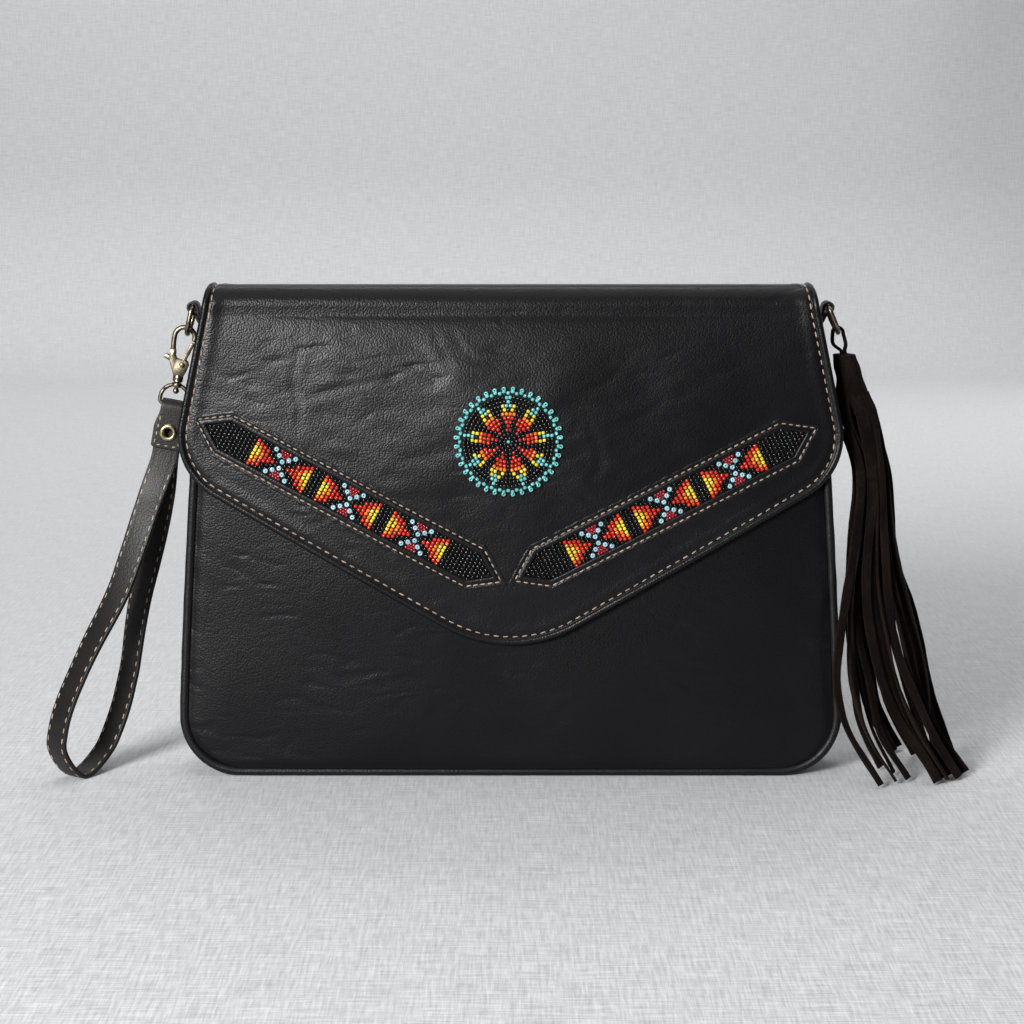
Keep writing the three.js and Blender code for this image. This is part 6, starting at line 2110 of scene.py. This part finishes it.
def makeStrands():
    t = tasselLook
    rng = np.random.default_rng(7)
    plan = [(s, t["strand"], s[4]) for s in t["strands"]]
    base = t["strands"]
    for a, b, mix in ((0, 5, 0.5), (1, 2, 0.45), (2, 4, 0.5), (3, 8, 0.5), (6, 5, 0.5), (7, 4, 0.4), (9, 11, 0.5),
                      (10, 12, 0.5), (13, 8, 0.6), (1, 7, 0.5), (9, 7, 0.5)):
        mixed = [tuple(np.array(p) * mix + np.array(q) * (1 - mix)) for p, q in zip(base[a][:4], base[b][:4])]
        plan.append(((*mixed, base[a][4] + 60), 3.8, base[a][4] + rng.uniform(30, 80)))
    sewn = Sewn("tasselStrands")
    for i, (strand, width, turn) in enumerate(plan):
        path, facing = strandPath(strand, 78)
        run = lengthsAlong(path)
        share = run / run[-1]
        sway = smoothStep(0.15, 0.5, share)[:, None] * 0.8
        path = path + sway * np.stack(
            [ripples(run, 0 * run, 60, 200 + i, 6), ripples(run, 0 * run + 9, 60, 230 + i, 6), 0 * run], 1
        )
        path[:, 2] = np.maximum(path[:, 2], 1.2)
        facing = turn + (facing - turn + 90) % 180 - 90  # the flat side lies on the head, then turns
        lying = facing + (turn - facing) * smoothStep(0.08, 0.45, share)
        angle = np.radians(lying + t["twist"] * share + 14 * ripples(run, 0 * run, 90, 260 + i, 4) * share)
        wide = np.stack([np.cos(angle), np.sin(angle), 0 * angle], 1)
        along = tangents(path)
        wide = unit(wide - along * (wide * along).sum(1, keepdims=True))
        deep = np.cross(along, wide)
        section = roundedBar(width, t["thick"], 0.3, 0.0, 3, 8)
        profile = np.repeat(section[None], len(path), 0).copy()
        girth = 1 + 0.06 * ripples(run, 0 * run, 24, 290 + i, 6) + rng.uniform(-0.03, 0.03, len(run))
        profile[..., 0] *= girth[:, None]
        profile[..., 1] *= (0.25 + 0.75 * smoothStep(0, 10, run))[:, None]
        curl = 0.035 * rng.uniform(0.4, 1.0) * rng.choice([-1, 1])
        profile[..., 1] += curl * profile[..., 0] ** 2 * smoothStep(0.0, 0.3, share)[:, None]
        grid = sweep(path, wide, deep, profile)
        flat = flatOf(grid, True) + np.array([i * 40.0, i * 17.0])
        tone = rng.uniform(0.2, 0.8)
        sewn.patch(grid, flat, ring=True, tone=tone)
        sewn.cap(grid[0])
        sewn.cap(grid[-1], slot=1)
    made = sewn.make([tasselSuede, suedeEdge], weld=False)
    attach(made, "tassel")


def makeHead():
    # the uncut top of the strip, rolled round the thong, so that its last edge shows as a step
    t = tasselLook
    sides, rows = 72, 26
    share = np.linspace(0, 1, rows)
    turn = np.linspace(0, 2 * math.pi, sides, endpoint=False)
    radius = headRadiusAt(share) * (1 - 0.35 * smoothStep(0.72, 1.0, share))
    step = 0.55 - 1.3 * ((turn - 3.9) % (2 * math.pi)) / (2 * math.pi)
    wobble = 0.25 * ripples(turn[None] * 5, share[:, None] * 22, 9, 14)
    full = radius[:, None] * 0.97 + step[None] + wobble
    middle = headTop[None] + tasselAxis[None] * (share * t["headLength"])[:, None]
    grid = np.stack(
        [
            middle[:, None, 0] + full * np.cos(turn),
            middle[:, None, 1] + full * np.sin(turn) * t["flatten"],
            np.broadcast_to(middle[:, None, 2], full.shape),
        ],
        -1,
    )
    sewn = Sewn("tasselHead")
    sewn.patch(grid, ring=True)
    lip = (grid[0] - middle[0]) * 0.86 + middle[0] + np.array([0, 0, 0.25])
    core = (grid[0] - middle[0]) * 0.3 + middle[0] + np.array([0, 0, -0.5])
    sewn.patch(np.stack([grid[0], lip, core]), ring=True, slot=1)
    sewn.cap(core, slot=1)
    sewn.cap(grid[-1])
    made = sewn.make([tasselSuede, suedeEdge])
    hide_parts("tassel_fringe")
    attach(made, "tassel")


makeThong()
makeStrands()
makeHead()
print("tassel cut")

# Studio: a sweep of pale linen, one soft key lamp from the left, a wide lamp overhead and a weak fill

studio = {
    "front": -480.0,  # just outside the picture, so the bag's face does not mirror a white floor
    "turn": 1900.0,  # where the cloth starts to rise, far enough off to look at the bag's back
    "bend": 260.0,
    "height": 1300.0,
    "halfWidth": 1600.0,
    "thread": 1.15,  # mm, coarser than the real thread, so that the weave shows
}


def linen():
    # Bleached linen: plain weave of uneven yarns, so light and dark slubs run along both directions
    material, tree, shader = startMaterial(
        "washedLinenGrey", {"Roughness": 0.9, "Specular IOR Level": 0.15, "Sheen Weight": 0.1}
    )
    pattern = addNode(tree, "ShaderNodeUVMap", {"uv_map": "pattern"})
    yarns = []
    for scale in ((1.0, 0.07, 1.0), (0.07, 1.0, 1.0)):
        line = addNode(tree, "ShaderNodeMapping", {"Scale": scale}, {"Vector": pattern.outputs["UV"]})
        yarns.append(
            addNode(
                tree,
                "ShaderNodeTexNoise",
                {"noise_dimensions": "2D", "Scale": 0.8 / studio["thread"], "Detail": 2.0, "Roughness": 0.7},
                {"Vector": line.outputs[0]},
            )
        )
    both = addNode(
        tree, "ShaderNodeMath", {"operation": "ADD"}, {0: yarns[0].outputs["Fac"], 1: yarns[1].outputs["Fac"]}
    )
    depth = addNode(tree, "ShaderNodeSeparateXYZ", {}, {0: pattern.outputs["UV"]})
    soften = addNode(
        tree,
        "ShaderNodeMapRange",
        {"From Min": -500.0, "From Max": 500.0, "To Min": 1.0, "To Max": 0.4},
        {"Value": depth.outputs["Y"]},
    )
    centred = addNode(tree, "ShaderNodeMath", {"operation": "SUBTRACT", 1: 1.0}, {0: both.outputs[0]})
    weave = addNode(
        tree,
        "ShaderNodeMath",
        {"operation": "MULTIPLY"},
        {0: centred.outputs[0], 1: soften.outputs["Result"]},
    )
    share = addNode(
        tree,
        "ShaderNodeMapRange",
        {"From Min": -0.42, "From Max": 0.42},
        {"Value": weave.outputs[0]},
    )
    tint = addNode(
        tree,
        "ShaderNodeMix",
        {"data_type": "RGBA", 6: linear("#a0a1a3"), 7: linear("#d9dadc")},
        {0: share.outputs["Result"]},
    )
    # painted shade: the cloth is made darker on the wall far back, in place of the light falling off with distance
    wallFalloffShade = addNode(
        tree,
        "ShaderNodeMapRange",
        {"From Min": 1900.0, "From Max": 2600.0, "To Min": 1.0, "To Max": 0.92},
        {"Value": depth.outputs["Y"]},
    )
    dimmed = addNode(
        tree, "ShaderNodeVectorMath", {"operation": "SCALE"}, {0: tint.outputs[2], "Scale": wallFalloffShade.outputs["Result"]}
    )
    bump = addNode(tree, "ShaderNodeBump", {"Strength": 0.35, "Distance": 0.0004}, {"Height": weave.outputs[0]})
    tree.links.new(dimmed.outputs[0], shader.inputs["Base Color"])
    tree.links.new(bump.outputs["Normal"], shader.inputs["Normal"])
    return material


def makeStudio():
    s = studio
    floor = [(y, 0.0) for y in np.linspace(s["front"], s["turn"], 30)]
    bend = arc((s["turn"], s["bend"]), s["bend"], -90, 0, 30)[1:]
    wall = [(s["turn"] + s["bend"], z) for z in np.linspace(s["bend"], s["height"], 20)[1:]]
    line = np.vstack([floor, bend, wall])
    x = np.linspace(-s["halfWidth"], s["halfWidth"], 80)
    fold = 32 * np.exp(-(((x - 600) / 100) ** 2)) + 16 * np.exp(-(((x + 950) / 160) ** 2))
    rise = smoothStep(s["bend"] * 0.6, s["bend"] + 500, line[:, 1])
    grid = np.stack(
        np.broadcast_arrays(x[None], line[:, 0, None] - fold[None] * rise[:, None], line[:, 1, None] + 0 * x[None]), -1
    )
    run = lengthsAlong(line) + s["front"]
    flat = np.stack(np.broadcast_arrays(x[None], run[:, None]), -1)
    sewn = Sewn("backdrop")
    sewn.patch(grid, flat)
    made = sewn.make([linen()])


def lamp(name, place, aim, size, watts, colour=(1, 1, 1)):
    light = bpy.data.lights.new(name, "AREA")
    light.shape, light.size, light.size_y = "RECTANGLE", size[0], size[1]
    light.energy, light.color = watts, colour
    made = bpy.data.objects.new(name, light)
    bpy.context.scene.collection.objects.link(made)
    made.location = place
    made.rotation_mode = "QUATERNION"
    made.rotation_quaternion = (Vector(aim) - Vector(place)).to_track_quat("-Z", "Y")


def lightStudio():
    world = bpy.data.worlds.new("studioAir")
    bpy.context.scene.world = world
    world.use_nodes = True
    world.node_tree.nodes["Background"].inputs["Color"].default_value = grey(0.9)
    world.node_tree.nodes["Background"].inputs["Strength"].default_value = 0.07
    lamp("keyLamp", (-0.96, -1.67, 0.74), (0, 0, 0.15), (0.55, 0.55), 66.0)
    lamp("topLamp", (0.2, -0.1, 1.9), (0.1, 0.1, 0), (2.4, 1.8), 13.5)
    lamp("backdropLamp", (-0.6, 1.3, 1.8), (-0.25, 2.2, 0.35), (2.0, 0.6), 25.0)
    lamp("rearLamp", (1.1, 1.5, 0.9), (0, 0, 0.12), (1.2, 0.9), 9.0)  # a weak fill, for the looks of the back


makeStudio()
lightStudio()
